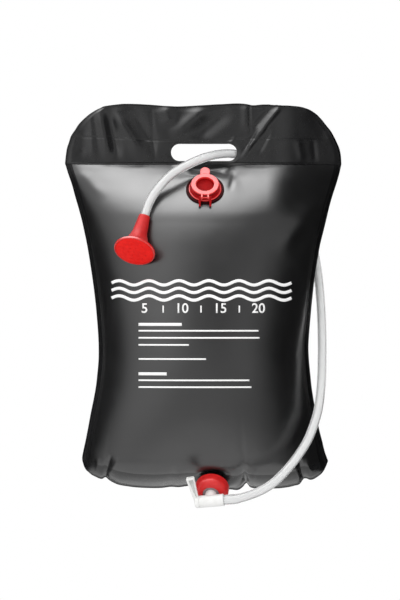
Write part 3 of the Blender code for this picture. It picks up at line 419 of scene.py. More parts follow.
# Grain of the finishes: patches to the metre and height in metres, coarse and fine
SHEET_GRAIN = ((70, 0.00012), (1500, 0.000012))
FLAP_GRAIN = ((90, 0.00014), (1500, 0.000012))
WELD_GRAIN = ((420, 0.00005), (1500, 0.000010))
MOULD_GRAIN = ((260, 0.00003), (1800, 0.000008))
COARSE_GRAIN = ((260, 0.00004), (1800, 0.000008))
FACE_GRAIN = ((240, 0.00012), (1800, 0.000010))
WHITE_GRAIN = ((300, 0.00003), (1800, 0.000010))
RUBBER_GRAIN = ((900, 0.00003), (2400, 0.00001))
INK_GRAIN = ((70, 0.00012), (1900, 0.000014))
HOSE_GRAIN = ((90, 0.000006), (900, 0.000002))

# Finishes: material, its two colours, roughness from and to, colour patches to the metre, grain, specular
# level, and the weight and roughness of a coat
NO_COAT = (0.0, 0.03)
BLACK = ((0.0028, 0.0028, 0.0031), (0.0050, 0.0050, 0.0054))
BRIGHT_RED = ((0.66, 0.011, 0.010), (0.74, 0.016, 0.013))
FINISHES = {
    "sheet": ("black_pvc_sheet", BLACK, (0.29, 0.36), 14, SHEET_GRAIN, 0.85, (1.0, 0.27)),
    "flap": (
        "black_pvc_flap", ((0.006, 0.006, 0.0066), (0.0095, 0.0095, 0.0100)),
        (0.25, 0.32), 18, FLAP_GRAIN, 0.62, (0.25, 0.25),
    ),
    "rim": ("black_pvc_weld", BLACK, (0.40, 0.48), 60, WELD_GRAIN, 0.32),
    "red": (
        "red_moulding", ((0.57, 0.009, 0.010), (0.64, 0.013, 0.013)),
        (0.30, 0.40), 160, COARSE_GRAIN, 0.55,
    ),
    # Painted shade: a darker copy of the shower head's red, for its body where the top light falls
    "stem": (
        "red_moulding_stem", ((0.50, 0.012, 0.013), (0.57, 0.016, 0.016)),
        (0.36, 0.46), 160, COARSE_GRAIN, 0.35,
    ),
    # Painted highlight along with real gloss: a brighter, glossier red for the shower head's rim band
    "gloss": ("red_moulding_gloss", BRIGHT_RED, (0.20, 0.28), 160, MOULD_GRAIN, 0.9, (0.8, 0.18)),
    "cap": ("red_moulding_cap", BRIGHT_RED, (0.28, 0.36), 160, COARSE_GRAIN, 0.7, (0.8, 0.30)),
    # Painted shade: a darker, duller copy of the red, for the filler's step, neck and prongs
    "neck": (
        "red_moulding_neck", ((0.33, 0.003, 0.005), (0.39, 0.005, 0.007)),
        (0.36, 0.46), 160, MOULD_GRAIN, 0.1,
    ),
    # Painted shade: a darker, duller copy of the red, for the floor and walls of the cap's recess
    "shade": (
        "red_moulding_recess", ((0.27, 0.004, 0.005), (0.33, 0.006, 0.007)),
        (0.42, 0.52), 160, MOULD_GRAIN, 0.06,
    ),
    # Painted light: a brighter copy of the shower head's red, for the spray plate that faces down
    "face": (
        "red_moulding_face", ((0.74, 0.010, 0.008), (0.82, 0.014, 0.010)),
        (0.40, 0.52), 190, FACE_GRAIN, 0.10,
    ),
    "dark": (
        "dark_red_moulding", ((0.020, 0.0010, 0.0012), (0.030, 0.0014, 0.0018)),
        (0.38, 0.48), 160, MOULD_GRAIN, 0.06,
    ),
    "white": (
        "white_moulding", ((0.76, 0.76, 0.745), (0.81, 0.81, 0.80)),
        (0.34, 0.46), 120, WHITE_GRAIN, 0.4,
    ),
    # Painted shade: a darker grey copy of the white moulding, for the tap's tail flange inside the collar's
    # hole
    "hollow": (
        "white_moulding_shaded", ((0.25, 0.22, 0.23), (0.30, 0.27, 0.28)),
        (0.44, 0.54), 120, WHITE_GRAIN, 0.2,
    ),
    # Painted shade: a darker grey copy of the white moulding, for the lever's recess floors
    "grey": (
        "white_moulding_recess", ((0.58, 0.59, 0.57), (0.64, 0.65, 0.63)),
        (0.44, 0.54), 120, WHITE_GRAIN, 0.2,
    ),
    "rubber": (
        "seal_rubber", ((0.016, 0.016, 0.016), (0.026, 0.026, 0.027)),
        (0.6, 0.75), 300, RUBBER_GRAIN, 0.5,
    ),
    "ink": (
        "white_ink", ((0.86, 0.86, 0.855), (0.91, 0.91, 0.905)),
        (0.42, 0.55), 90, INK_GRAIN, 0.3,
    ),
    "clear": (
        "clear_hose", ((0.985, 0.99, 0.99), (0.995, 0.997, 0.997)),
        (0.06, 0.10), 60, HOSE_GRAIN, 0.5, (0.6, 0.08),
    ),
    "milky": (
        "milky_hose_bore", ((0.97, 0.975, 0.975), (0.985, 0.987, 0.987)),
        (0.30, 0.40), 60, HOSE_GRAIN, 0.2,
    ),
}

# Noise that makes a finish wander: its detail, the span of it that is used, and how much finer the patches of
# roughness are than those of colour
PATCH_DETAIL = 3.0
PATCH_SPAN = (0.35, 0.65)
WANDER_DETAIL = 4.0
WANDER_SPAN = (0.3, 0.7)
WANDER_SCALE = 2.3
GRAIN_DETAIL = 2.0

# CAD nodes that stay, and their finishes
KEPT_NODES = {
    "filler_hinge_pin": "red",
    "tap_plug": "white",
    "filler_seal": "rubber",
    "outlet_gasket": "rubber",
    "tap_plug_seal": "rubber",
    "outlet_flange": "rim",
}


def at(column, row):
    """World X and Z of a pixel of the photograph, in the plane of the welds."""
    return (column - ORIGIN_PX[0]) * PIXEL, (ORIGIN_PX[1] - row) * PIXEL


def smooth_through(places, values, wanted):
    """Values of a smooth curve through a table whose places ascend."""
    places = np.asarray(places, float)
    values = np.asarray(values, float)
    steps = np.diff(places)
    rises = np.diff(values) / steps
    slopes = np.empty_like(values)
    slopes[0] = rises[0]
    slopes[-1] = rises[-1]
    slopes[1:-1] = (rises[:-1] * steps[1:] + rises[1:] * steps[:-1]) / (steps[1:] + steps[:-1])
    wanted = np.clip(wanted, places[0], places[-1])
    spot = np.clip(np.searchsorted(places, wanted, side="right") - 1, 0, len(steps) - 1)
    span = steps[spot]
    t = (wanted - places[spot]) / span
    return (
        values[spot] * (2 * t**3 - 3 * t**2 + 1)
        + slopes[spot] * span * (t**3 - 2 * t**2 + t)
        + values[spot + 1] * (3 * t**2 - 2 * t**3)
        + slopes[spot + 1] * span * (t**3 - t**2)
    )


def ease(share):
    """Smooth step from 0 to 1."""
    share = np.clip(share, 0, 1)
    return share * share * (3 - 2 * share)


def table_at(table, wanted):
    """Values of a two-column table's smooth curve."""
    table = np.array(table)
    return smooth_through(table[:, 0], table[:, 1], wanted)


def rises_at(table, x):
    """Metres at world X of a table's smooth curve through pixel columns and rises in pixels."""
    return table_at([(at(column, 0)[0], rise * PIXEL) for column, rise in table], x)


def creased(x, z, creases):
    """Height of the table's ridges and valleys at world X and Z."""
    total = np.zeros_like(x)
    for start, end, half_width, height in creases:
        x0, z0 = at(*start)
        x1, z1 = at(*end)
        along = np.array([x1 - x0, z1 - z0])
        length = np.hypot(*along)
        along /= length
        share = np.clip(((x - x0) * along[0] + (z - z0) * along[1]) / length, 0, 1)
        aside = (x - x0) * along[1] - (z - z0) * along[0]
        taper = ease(share * CREASE_TAPER) * ease((1 - share) * CREASE_TAPER)
        total += height * taper * np.exp(-((aside / (half_width * PIXEL)) ** 2))
    return total


def edge_x(table, z, side):
    """World X of the bag's left or right edge at each height."""
    rows = sorted(table, key=lambda row: -row[0])
    heights = [at(0, row[0])[1] for row in rows]
    edges = [at(row[1 + side], 0)[0] for row in rows]
    return smooth_through(heights, edges, z)


def column_turns():
    """Angles of the inner columns across the bag, which put them closer together near its sides."""
    return np.linspace(-math.pi / 2, math.pi / 2, COLUMNS + 1)


def column_places(left, right):
    """World X of each column of one row: a rim at both ends and an even arc between them."""
    inner = (left + right) / 2 + ((right - left) / 2 - RIM_WIDTH) * np.sin(column_turns())
    return np.concatenate([[left, left + RIM_WIDTH / 2], inner, [right - RIM_WIDTH / 2, right]])


def side_columns(ends, inner):
    """One value for each column: the given ones at the rim's two columns, and the inner ones between."""
    return np.concatenate([ends, inner, ends[::-1]])


def blurred(places, values, reach):
    """A smoother copy of a curve, in which each value is a weighted mean of those within the reach."""
    apart = places[:, None] - places[None, :]
    weights = np.exp(-((apart / reach) ** 2)) * np.gradient(places)[None, :]
    return (weights * values[None, :]).sum(axis=1) / weights.sum(axis=1)


def chamber_grid():
    """Places and depth of the chamber's grid, rows from the bottom edge to the top weld."""
    corner = at(0, CHAMBER_EDGES_PX[-1][0])[1]
    rows = np.linspace(0, 1, CHAMBER_ROWS + 1)
    rows = rows - ROW_PULL_SHARE * np.sin(math.tau * rows) / math.pi
    fold = FOLD_HEIGHT / (CHAMBER_TOP - corner)
    rows = np.concatenate([rows[:-1], np.linspace(1 - fold, 1, FOLD_ROWS + 1)])
    sides = corner + rows * (CHAMBER_TOP - corner)
    edges = zip(edge_x(CHAMBER_EDGES_PX, sides, 0), edge_x(CHAMBER_EDGES_PX, sides, 1))
    x = np.array([column_places(left, right) for left, right in edges])
    floor = table_at([at(*place) for place in BOTTOM_EDGE_PX], x[0])
    broad = blurred(x[0], floor, NOTCH_BLUR_PX * PIXEL)
    fade = (1 - rows)[:, None]
    z = sides[:, None] + (broad - corner) * fade**BULGE_FADE + (floor - broad) * fade**NOTCH_FADE
    drop = np.maximum(rises_at(FOLD_DROP_PX, x[-1]), 0)
    hang = ease((sides - CHAMBER_TOP + FOLD_REACH) / FOLD_REACH) * np.clip((1 - rows) / fold, 0, 1)
    z -= drop * hang[:, None]
    middle = broad[len(broad) // 2]
    straight = sides + (middle - corner) * (1 - rows) ** BULGE_FADE
    shares = (straight - middle) / (CHAMBER_TOP - middle)
    depth = HALF_DEPTH * np.maximum(table_at(DEPTH_SHARES, shares), 0)
    depth[shares <= DEPTH_SHARES[1][0]] = 0
    depth = depth[:, None] * side_columns([0, 0], np.cos(column_turns()) ** SIDE_POWER)[None, :]
    return x, z, depth


def corner_bend(x, z):
    """How strongly the upper right corner bends backwards at each place, 0 to 1, and how far it moves."""
    start, end = (at(place, 0)[0] for place in BEND_SPAN_PX)
    low, high = (at(0, place)[1] for place in BEND_FADE_PX)
    fade = ease((z - low) / (high - low))
    share = np.clip((x - start) / (end - start), 0, 1)
    moved = BEND_SLOPE * ((end - start) * share**2 / 2 + np.maximum(x - end, 0))
    return share * fade, moved * fade


def flap_grid():
    """Places of the flap's grid, rows from the top weld to the top edge."""
    top = at(0, FLAP_EDGES_PX[0][0])[1]
    heights = np.linspace(CHAMBER_TOP, top, FLAP_ROWS + 1)[1:]
    close = np.linspace(0, WELD_LINE_WIDTH, WELD_LINE_ROWS + 1)[1:]
    heights = np.unique(np.concatenate([heights, CHAMBER_TOP + close]))
    edges = zip(edge_x(FLAP_EDGES_PX, heights, 0), edge_x(FLAP_EDGES_PX, heights, 1))
    x = np.array([column_places(left, right) for left, right in edges])
    share = ((heights - CHAMBER_TOP) / (top - CHAMBER_TOP))[:, None]
    return x, heights[:, None] + rises_at(FLAP_WAVE_PX, x) * share**2


def slot_distance(x, z):
    """How far places lie outside the handle slot's edge."""
    radius = SLOT_HEIGHT / 2
    reach = SLOT_LENGTH / 2 - radius
    aside = np.maximum(np.abs(x) - reach, 0)
    return np.hypot(aside, z + radius) - radius


def flap_puff(x, z):
    """How far each ply of the flap stands off its partner, between the welds along lines, slot and edge."""
    line = table_at([at(*place) for place in FLAP_LINE_PX], x)
    edge = np.minimum(x - x[:, :1], x[:, -1:] - x)
    edge = np.minimum(edge, z[-1:] - z)
    puff = PLY_PUFF * ease(np.abs(z - CHAMBER_TOP) / WELD_LINE_WIDTH)
    puff *= 1 - WELD_LINE_SHARE * (1 - ease(np.abs(z - line) / WELD_LINE_WIDTH))
    puff *= ease((edge - EDGE_WELD_WIDTH) / FLAP_EDGE_EASE)
    return puff * ease((slot_distance(x, z) - WELD_LINE_WIDTH / 2) / WELD_LINE_WIDTH)


def blurred_ring(turns, heights):
    """Mean height of points round a ring, for even steps of its turn."""
    steps = np.linspace(-math.pi, math.pi, SIDES, endpoint=False)
    apart = (turns[None, :] - steps[:, None] + math.pi) % math.tau - math.pi
    weights = np.exp(-((apart * SIDES / math.tau) ** 2))
    return steps, (weights * heights[None, :]).sum(axis=1) / weights.sum(axis=1)


def seated(points, matrix, flat, reaches):
    """Press the skin flat under a welded flange, and let it rise to its own shape within the reaches beyond.

    Around the flange the skin comes down by the height that it has at the flange's edge, on each side.
    """
    side, up, down = reaches
    inverse = np.array(matrix.inverted())
    local = points @ inverse[:3, :3].T + inverse[:3, 3]
    distance = np.maximum(np.hypot(local[:, 0], local[:, 1]), flat / 2)
    turn = np.arctan2(local[:, 1], local[:, 0])
    ring = (np.abs(distance - flat) < SEAT_RING) & (np.abs(local[:, 2]) < CUT_REACH)
    edge = np.interp(turn, *blurred_ring(turn[ring], local[ring, 2]), period=math.tau)
    upright = np.where(local[:, 1] > 0, up, down)
    reach = distance / np.maximum(np.hypot(local[:, 0] / side, local[:, 1] / upright), flat / (2 * side))
    pulled = local[:, 2] - edge * (1 - ease((distance - flat) / np.maximum(reach - flat, SHEET)))
    onto = ease((distance - flat + SEAT_RING) / (2 * SEAT_RING))
    local[:, 2] = np.where(np.abs(local[:, 2]) < 2 * CUT_REACH, pulled * onto, local[:, 2])
    forward = np.array(matrix)
    return local @ forward[:3, :3].T + forward[:3, 3]


def skin_points(facing):
    """Outer face of one skin as a grid of points: facing -1 for the front one and 1 for the back one."""
    x, z, depth = chamber_grid()
    flap_x, flap_z = flap_grid()
    creases = FRONT_CREASES_PX if facing < 0 else BACK_CREASES_PX
    bend, moved = corner_bend(x, z)
    if facing > 0:
        depth = depth * (1 - BEND_BACK_SHARE * bend)
    body = depth + creased(x, z, creases) * ease(depth / (2 * RIM_CURL))
    curl = RIM_CURL * side_columns([1, 0.5], np.zeros(COLUMNS + 1))[None, :]
    curl = curl * ease((CHAMBER_TOP - z) / RIM_CURL_FADE)
    body_y = facing * (SHEET + body) + curl + moved
    flap_y = facing * (SHEET + flap_puff(flap_x, flap_z)) - creased(flap_x, flap_z, FLAP_CREASES_PX)
    flap_y += corner_bend(flap_x, flap_z)[1]
    grid = np.stack([np.vstack([x, flap_x]), np.vstack([body_y, flap_y]), np.vstack([z, flap_z])], axis=2)
    points = grid.reshape(-1, 3)
    if facing < 0:
        points = seated(points, FILLER_FRAME, FILLER_FLAT, FILLER_REACHES)
        points = seated(points, OUTLET_FRAME, OUTLET_FLAT, OUTLET_REACHES)
    return points.reshape(grid.shape)


def add_object(name, mesh, *materials):
    """Put a mesh in the scene with its materials."""
    mesh.shade_smooth()
    for material in materials:
        mesh.materials.append(material)
    item = bpy.data.objects.new(name, mesh)
    bpy.context.scene.collection.objects.link(item)
    return item


def mesh_of(shape, name):
    """Turn a bmesh into a mesh with its faces outwards."""
    bmesh.ops.recalc_face_normals(shape, faces=shape.faces)
    mesh = bpy.data.meshes.new(name)
    shape.to_mesh(mesh)
    shape.free()
    return mesh


def stands_for(piece, body, slot, *nodes):
    """Let a piece ride on a body in place of CAD nodes."""
    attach(piece, body)
    if nodes:
        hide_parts(*nodes)


def grid_object(name, grid, facing, materials):
    """Make a skin from a grid of points, with the materials of chamber, flap and weld in their places."""
    rows, columns, _ = grid.shape
    faces = []
    kinds = []
    for row in range(rows - 1):
        for column in range(columns - 1):
            first = row * columns + column
            corners = (first, first + 1, first + columns + 1, first + columns)
            faces.append(corners if facing < 0 else corners[::-1])
            inside = min(column, columns - 2 - column)
            if row < CHAMBER_ROWS + FOLD_ROWS - 1:
                welded = inside < RIM_COLUMNS or row >= CHAMBER_ROWS - 1
                kind = FLAP_KIND if row < BOTTOM_ROWS else SHEET_KIND
            else:
                welded = inside < 1 or row >= rows - 1 - TOP_EDGE_ROWS
                kind = FLAP_KIND
            kinds.append(WELD_KIND if welded else kind)
    mesh = bpy.data.meshes.new(name)
    mesh.from_pydata(grid.reshape(-1, 3).tolist(), [], faces)
    item = add_object(name, mesh, *materials)
    mesh.polygons.foreach_set("material_index", kinds)
    return item


def apply_modifiers(item):
    """Keep what the modifiers make as the object's own mesh."""
    bpy.context.view_layer.update()
    depsgraph = bpy.context.evaluated_depsgraph_get()
    mesh = bpy.data.meshes.new_from_object(item.evaluated_get(depsgraph))
    item.modifiers.clear()
    item.data = mesh


def extruded(outline, low, high):
    """Extrude an outline of (x, y) points along local Z."""
    shape = bmesh.new()
    bottom = [shape.verts.new((x, y, low)) for x, y in outline]
    top = [shape.verts.new((x, y, high)) for x, y in outline]
    shape.faces.new(bottom)
    shape.faces.new(list(reversed(top)))
    for step in range(len(outline)):
        ahead = (step + 1) % len(outline)
        shape.faces.new((bottom[step], top[step], top[ahead], bottom[ahead]))
    return shape


def arc(centre, radius, start, end, steps):
    """List points on an arc in the plane, with angles in degrees."""
    angles = [math.radians(start + (end - start) * step / steps) for step in range(steps + 1)]
    return [(centre[0] + radius * math.cos(turn), centre[1] + radius * math.sin(turn)) for turn in angles]


def changed(shape, matrix):
    """Move a bmesh by a matrix."""
    bmesh.ops.transform(shape, matrix=matrix, verts=shape.verts)
    return shape


def along_x(shape):
    """Lay a shape that was made about local Z along local X."""
    return changed(shape, Matrix.Rotation(math.pi / 2, 4, "Y"))


def cut(item, shape):
    """Cut an object with a closed shape."""
    cutter = add_object("cutter", mesh_of(shape, "cutter"))
    modifier = item.modifiers.new("cut", "BOOLEAN")
    modifier.operation = "DIFFERENCE"
    modifier.solver = "EXACT"
    modifier.object = cutter
    apply_modifiers(item)
    bpy.data.objects.remove(cutter)


def slot_shape():
    """A stadium through both plies, whose upper edge lies at the origin's height."""
    radius = SLOT_HEIGHT / 2
    reach = SLOT_LENGTH / 2 - radius
    outline = arc((reach, -radius), radius, -90, 90, SLOT_STEPS)
    outline += arc((-reach, -radius), radius, 90, 270, SLOT_STEPS)
    return changed(extruded(outline, -CUT_REACH, CUT_REACH), Matrix.Rotation(math.pi / 2, 4, "X"))


def cut_round_hole(item, matrix, radius):
    """Remove the faces of a skin inside a round hole, whose edge a flange covers."""
    shape = bmesh.new()
    shape.from_mesh(item.data)
    inverse = matrix.inverted()
    gone = []
    for face in shape.faces:
        local = inverse @ face.calc_center_median()
        if math.hypot(local.x, local.y) < radius and abs(local.z) < CUT_REACH:
            gone.append(face)
    bmesh.ops.delete(shape, geom=gone, context="FACES")
    shape.to_mesh(item.data)
    shape.free()


def add_bag(materials):
    """Add both skins in place of the CAD panels, each thickened inwards, with the slot cut through."""
    skins = {}
    for name, node, facing in (("bag_front", "front_panel", -1), ("bag_back", "back_panel", 1)):
        grid = skin_points(facing)
        skin = grid_object(name, grid, facing, materials)
        if facing < 0:
            cut_round_hole(skin, FILLER_FRAME, NECK_BORE_RADIUS)
            cut_round_hole(skin, OUTLET_FRAME, COLLAR_HOLE_RADIUS)
        solid = skin.modifiers.new("sheet", "SOLIDIFY")
        solid.thickness = SHEET
        solid.offset = -1
        cut(skin, slot_shape())
        stands_for(skin, "bag", "black_pvc", node)
        skins[name] = skin
    return skins


def smooth_path(points, count):
    """Evenly spaced points on a smooth curve through the route's points, and its length."""
    points = np.asarray(points, float)
    travelled = np.concatenate([[0], np.cumsum(np.linalg.norm(np.diff(points, axis=0), axis=1))])
    dense = np.linspace(0, travelled[-1], HOSE_CURVE_STEPS * count)
    curve = np.stack([smooth_through(travelled, points[:, axis], dense) for axis in range(3)], axis=1)
    length = np.concatenate([[0], np.cumsum(np.linalg.norm(np.diff(curve, axis=0), axis=1))])
    even = np.linspace(0, length[-1], count)
    return np.stack([np.interp(even, length, curve[:, axis]) for axis in range(3)], axis=1), length[-1]


def path_frames(path):
    """Two cross directions at each point of a path, carried along without twist."""
    tangents = np.gradient(path, axis=0)
    tangents /= np.linalg.norm(tangents, axis=1)[:, None]
    side = np.cross(tangents[0], (0, 0, 1.0))
    sides = []
    for tangent in tangents:
        side = side - tangent * np.dot(side, tangent)
        side /= np.linalg.norm(side)
        sides.append(side)
    sides = np.array(sides)
    return sides, np.cross(tangents, sides)


def barb_ridges():
    """Distance of each barb ridge from the tap's shoulder."""
    return [BARB_SPACING * (ridge + 1) for ridge in range(BARB_RIDGES)]


def hose_path():
    """The hose's route from the tap's shoulder, over the barb, to its seat in the shower head."""
    shoulder = BARREL_FRAME @ Vector((BARREL_RIGHT + HOSE_GAP, 0, 0))
    barb = BARREL_FRAME @ Vector((BARB_END, 0, 0))
    neck = (HEAD_NECK_TOP - head_middle()).normalized()
    seat = HEAD_NECK_TOP - neck * (HEAD_SOCKET_DEPTH - HOSE_GAP)
    return smooth_path([shoulder, barb, *HOSE_ROUTE, HEAD_NECK_TOP, seat], HOSE_RINGS)


def add_hose(clear, milky):
    """Add the hose as a hollow tube, stretched over the barb's ridges."""
    path, length = hose_path()
    sides, others = path_frames(path)
    travelled = np.linspace(0, length, len(path))
    on_barb = BARB_END - BARREL_RIGHT
    stretch = HOSE_STRETCH * (1 - ease((travelled - on_barb) / HOSE_RADIUS))
    for ridge in barb_ridges():
        stretch = stretch + HOSE_RIDGE * np.exp(-(((travelled - ridge) / HOSE_RIDGE_LENGTH) ** 2))
    turns = np.linspace(0, math.tau, HOSE_SIDES, endpoint=False)
    shape = bmesh.new()
    rings = []
    outer = [(place, HOSE_RADIUS + spread) for place, spread in enumerate(stretch)]
    inner = [(place, HOSE_BORE_RADIUS + spread) for place, spread in enumerate(stretch)][::-1]
    for place, radius in outer + inner:
        around = np.cos(turns)[:, None] * sides[place] + np.sin(turns)[:, None] * others[place]
        rings.append([shape.verts.new(spot) for spot in path[place] + radius * around])
    for count, (ring, following) in enumerate(zip(rings, rings[1:] + rings[:1])):
        for step in range(len(ring)):
            ahead = (step + 1) % len(ring)
            face = shape.faces.new((ring[step], ring[ahead], following[ahead], following[step]))
            face.material_index = int(len(outer) <= count < len(rings) - 1)
    hose = add_object("hose_tube", mesh_of(shape, "hose_tube"), clear, milky)
    stands_for(hose, "bag", "clear_pvc", "hose")


def corner_curve(before, corner, after, radius=EDGE, steps=CORNER_STEPS):
    """List points of a small curve in place of a corner between two others."""
    corner = Vector(corner)
    before = Vector(before) - corner
    after = Vector(after) - corner
    start = corner + before.normalized() * min(radius, before.length * CORNER_SHARE)
    end = corner + after.normalized() * min(radius, after.length * CORNER_SHARE)
    shares = [step / steps for step in range(steps + 1)]
    return [tuple(start.lerp(corner, share).lerp(corner.lerp(end, share), share)) for share in shares]


def rounded(profile, radius=EDGE):
    """Replace the corners of a profile by small curves. Points on the axis stay."""
    points = []
    for place, corner in enumerate(profile):
        if corner[0] == 0:
            points.append(corner)
        else:
            points += corner_curve(profile[place - 1], corner, profile[(place + 1) % len(profile)], radius)
    return points


def turned(profile):
    """Turn a profile of (radius, height) points about local Z. A profile off the axis closes on itself."""
    shape = bmesh.new()
    turns = [math.tau * step / SIDES for step in range(SIDES)]
    rings = []
    for radius, height in profile:
        if radius == 0:
            rings.append([shape.verts.new((0, 0, height))])
        else:
            spots = [(radius * math.cos(turn), radius * math.sin(turn), height) for turn in turns]
            rings.append([shape.verts.new(spot) for spot in spots])
    pairs = list(zip(rings, rings[1:]))
    if profile[0][0] > 0:
        pairs.append((rings[-1], rings[0]))
    join_rings(shape, pairs)
    return shape


def join_rings(shape, pairs):
    """Fill the bands between pairs of rings, either of which may be a single vertex."""
    for first, second in pairs:
        count = max(len(first), len(second))
        for step in range(count):
            ahead = (step + 1) % count
            corners = [first[step % len(first)], first[ahead % len(first)]]
            corners += [second[ahead % len(second)], second[step % len(second)]]
            shape.faces.new(list(dict.fromkeys(corners)))


def smooth_normals(item, sharp):
    """Keep flat faces flat between their rounded edges, and edges sharp from an angle on."""
    item.data.set_sharp_from_angle(angle=sharp)
    item.modifiers.new("normals", "WEIGHTED_NORMAL")
    apply_modifiers(item)


def placed(item, matrix):
    """Put the place of a piece into its mesh."""
    item.data.transform(matrix)
    return item


def moulded(name, shapes, material):
    """Fuse overlapping closed shapes into one moulded piece with soft edges."""
    whole = bmesh.new()
    for shape in shapes:
        whole.from_mesh(mesh_of(shape, name))
    item = add_object(name, mesh_of(whole, name), material)
    fuse = item.modifiers.new("fuse", "REMESH")
    fuse.mode = "VOXEL"
    fuse.voxel_size = VOXEL
    fuse.use_smooth_shade = True
    soften = item.modifiers.new("soften", "SMOOTH")
    soften.factor = SOFTEN_SHARE
    soften.iterations = SOFTEN_ROUNDS
    apply_modifiers(item)
    return item


def side_plate(outline, low, high):
    """Extrude an outline of (distance down the panel, height over it) points along local X."""
    shape = extruded([(-down, up) for down, up in outline], low, high)
    return changed(shape, Matrix(((0, 0, 1, 0), (1, 0, 0, 0), (0, 1, 0, 0), (0, 0, 0, 1))))


def both_sides(outline, span):
    """A side plate and its mirror image."""
    near, far = span
    return [side_plate(outline, near, far), side_plate(outline, -far, -near)]


def mark(item, test, index):
    """Give the faces whose local centre passes the test another material."""
    for face in item.data.polygons:
        if test(face.center):
            face.material_index = index


def add_filler_flange(dark, red, gloss):
    """Weld flange, step and neck, with the prongs that hold the hinge pin. Step, neck and prongs are a darker
    red as painted shade, and a ring at the step's edge a brighter, glossier red as painted highlight along
    with real gloss.
    """
    profile = [
        (NECK_BORE_RADIUS, CLEARANCE),
        (FLANGE_RADIUS, CLEARANCE),
        (FLANGE_RADIUS, FLANGE_TOP),
        (STEP_RADIUS, FLANGE_TOP + CLEARANCE),
        (STEP_RADIUS, STEP_TOP),
        (NECK_RADIUS, STEP_TOP + CLEARANCE),
        (NECK_RADIUS, NECK_TOP),
        (NECK_BORE_RADIUS, NECK_TOP),
    ]
    low = 2 * CLEARANCE
    outline = [(PRONG_ROOT - EDGE, low), (PRONG_FOOT, low), (PRONG_FOOT, FLANGE_TOP)]
    outline += arc((HINGE_REACH, HINGE_HEIGHT), KNUCKLE_RADIUS, *PRONG_ARC, KNUCKLE_STEPS)
    shapes = [turned(rounded(profile)), *both_sides(outline, PRONG_SPAN)]
    flange = moulded("filler_ring", shapes, dark)
    flange.data.materials.append(red)
    flange.data.materials.append(gloss)
    # Painted shade: the step, neck and prongs get the darker red
    reach = STEP_RADIUS + CLEARANCE
    raised = FLANGE_TOP + CLEARANCE
    mark(flange, lambda spot: spot.z > raised and math.hypot(spot.x, spot.y) < reach, 1)
    mark(flange, lambda spot: spot.z > raised and spot.y < 0 and abs(spot.x) < PRONG_SPAN[1] + EDGE, 1)
    # Painted highlight along with real gloss: a narrow ring at the step's edge gets the cap's brighter,
    # glossier red
    corner = Vector((STEP_RADIUS, STEP_TOP))
    mark(flange, lambda spot: (Vector((spot.xy.length, spot.z)) - corner).length < 2 * EDGE, 2)
    placed(flange, FILLER_FRAME)
    stands_for(flange, "bag", "dark_red_plastic", "filler_flange")


def add_filler_cap(red, shade):
    """Plug cap with a recessed face, a pull tab and two hinge lugs. The recess is a darker, duller red:
    painted shade.
    """
    profile = [
        (0, PLUG_LOW),
        (PLUG_RADIUS - EDGE, PLUG_LOW),
        (PLUG_RADIUS, CAP_LOW),
        (CAP_RADIUS, CAP_LOW),
        (CAP_RADIUS, CAP_TOP),
        (CAP_RECESS_RADIUS, CAP_TOP),
        (CAP_RECESS_RADIUS - EDGE, CAP_FLOOR),
        (0, CAP_FLOOR),
    ]
    inner = (CAP_RADIUS + CAP_RECESS_RADIUS) / 2
    middle = (CAP_LOW + CAP_TOP) / 2
    half = TAB_THICKNESS / 2
    end = arc((0, TAB_REACH - TAB_HALF), TAB_HALF, 0, 180, TAB_STEPS)
    outline = [(TAB_HALF, inner), *end, (-TAB_HALF, inner)]
    tab = extruded(outline, middle - half, middle + half)
    low = CAP_LOW + CLEARANCE
    lug = [(inner, CAP_TOP - CLEARANCE), (inner, low), (CAP_RADIUS + CLEARANCE, low)]
    lug += arc((HINGE_REACH, HINGE_HEIGHT), KNUCKLE_RADIUS, *LUG_ARC, KNUCKLE_STEPS)
    cap = moulded("filler_plug_cap", [turned(rounded(profile)), tab, *both_sides(lug, LUG_SPAN)], red)
    # Painted shade: the recess gets the darker, duller red
    cap.data.materials.append(shade)
    rim = CAP_RECESS_RADIUS - CLEARANCE
    mark(cap, lambda spot: math.hypot(spot.x, spot.y) < rim and spot.z < CAP_TOP - CLEARANCE, 1)
    placed(cap, FILLER_FRAME)
    stands_for(cap, "filler_cap", "red_plastic", "filler_cap")


def add_collar(red):
    """Domed screw collar with a rounded lip round its hole."""
    dome = COLLAR_DOME_RADIUS
    lip = COLLAR_LIP_RADIUS
    base = (COLLAR_BORE_RADIUS, COLLAR_BASE)
    profile = [base, *corner_curve(base, (COLLAR_RADIUS, COLLAR_BASE), (COLLAR_RADIUS, COLLAR_TOP))]
    profile += arc((COLLAR_RADIUS - dome, COLLAR_TOP - dome), dome, 0, 90, COLLAR_DOME_STEPS)
    profile += arc((COLLAR_HOLE_RADIUS + lip, COLLAR_TOP - lip), lip, 90, 180, COLLAR_LIP_STEPS)
    profile += [(COLLAR_HOLE_RADIUS, COLLAR_WALL_LOW), (COLLAR_BORE_RADIUS, COLLAR_WALL_LOW)]
    collar = add_object("screw_collar", mesh_of(turned(profile), "screw_collar"), red)
    smooth_normals(collar, COLLAR_SHARP)
    placed(collar, OUTLET_FRAME)
    stands_for(collar, "collar", "red_plastic", "outlet_collar")


def rod(radius, low, high):
    """A plain rod along local Z."""
    return turned([(0, low), (radius, low), (radius, high), (0, high)])


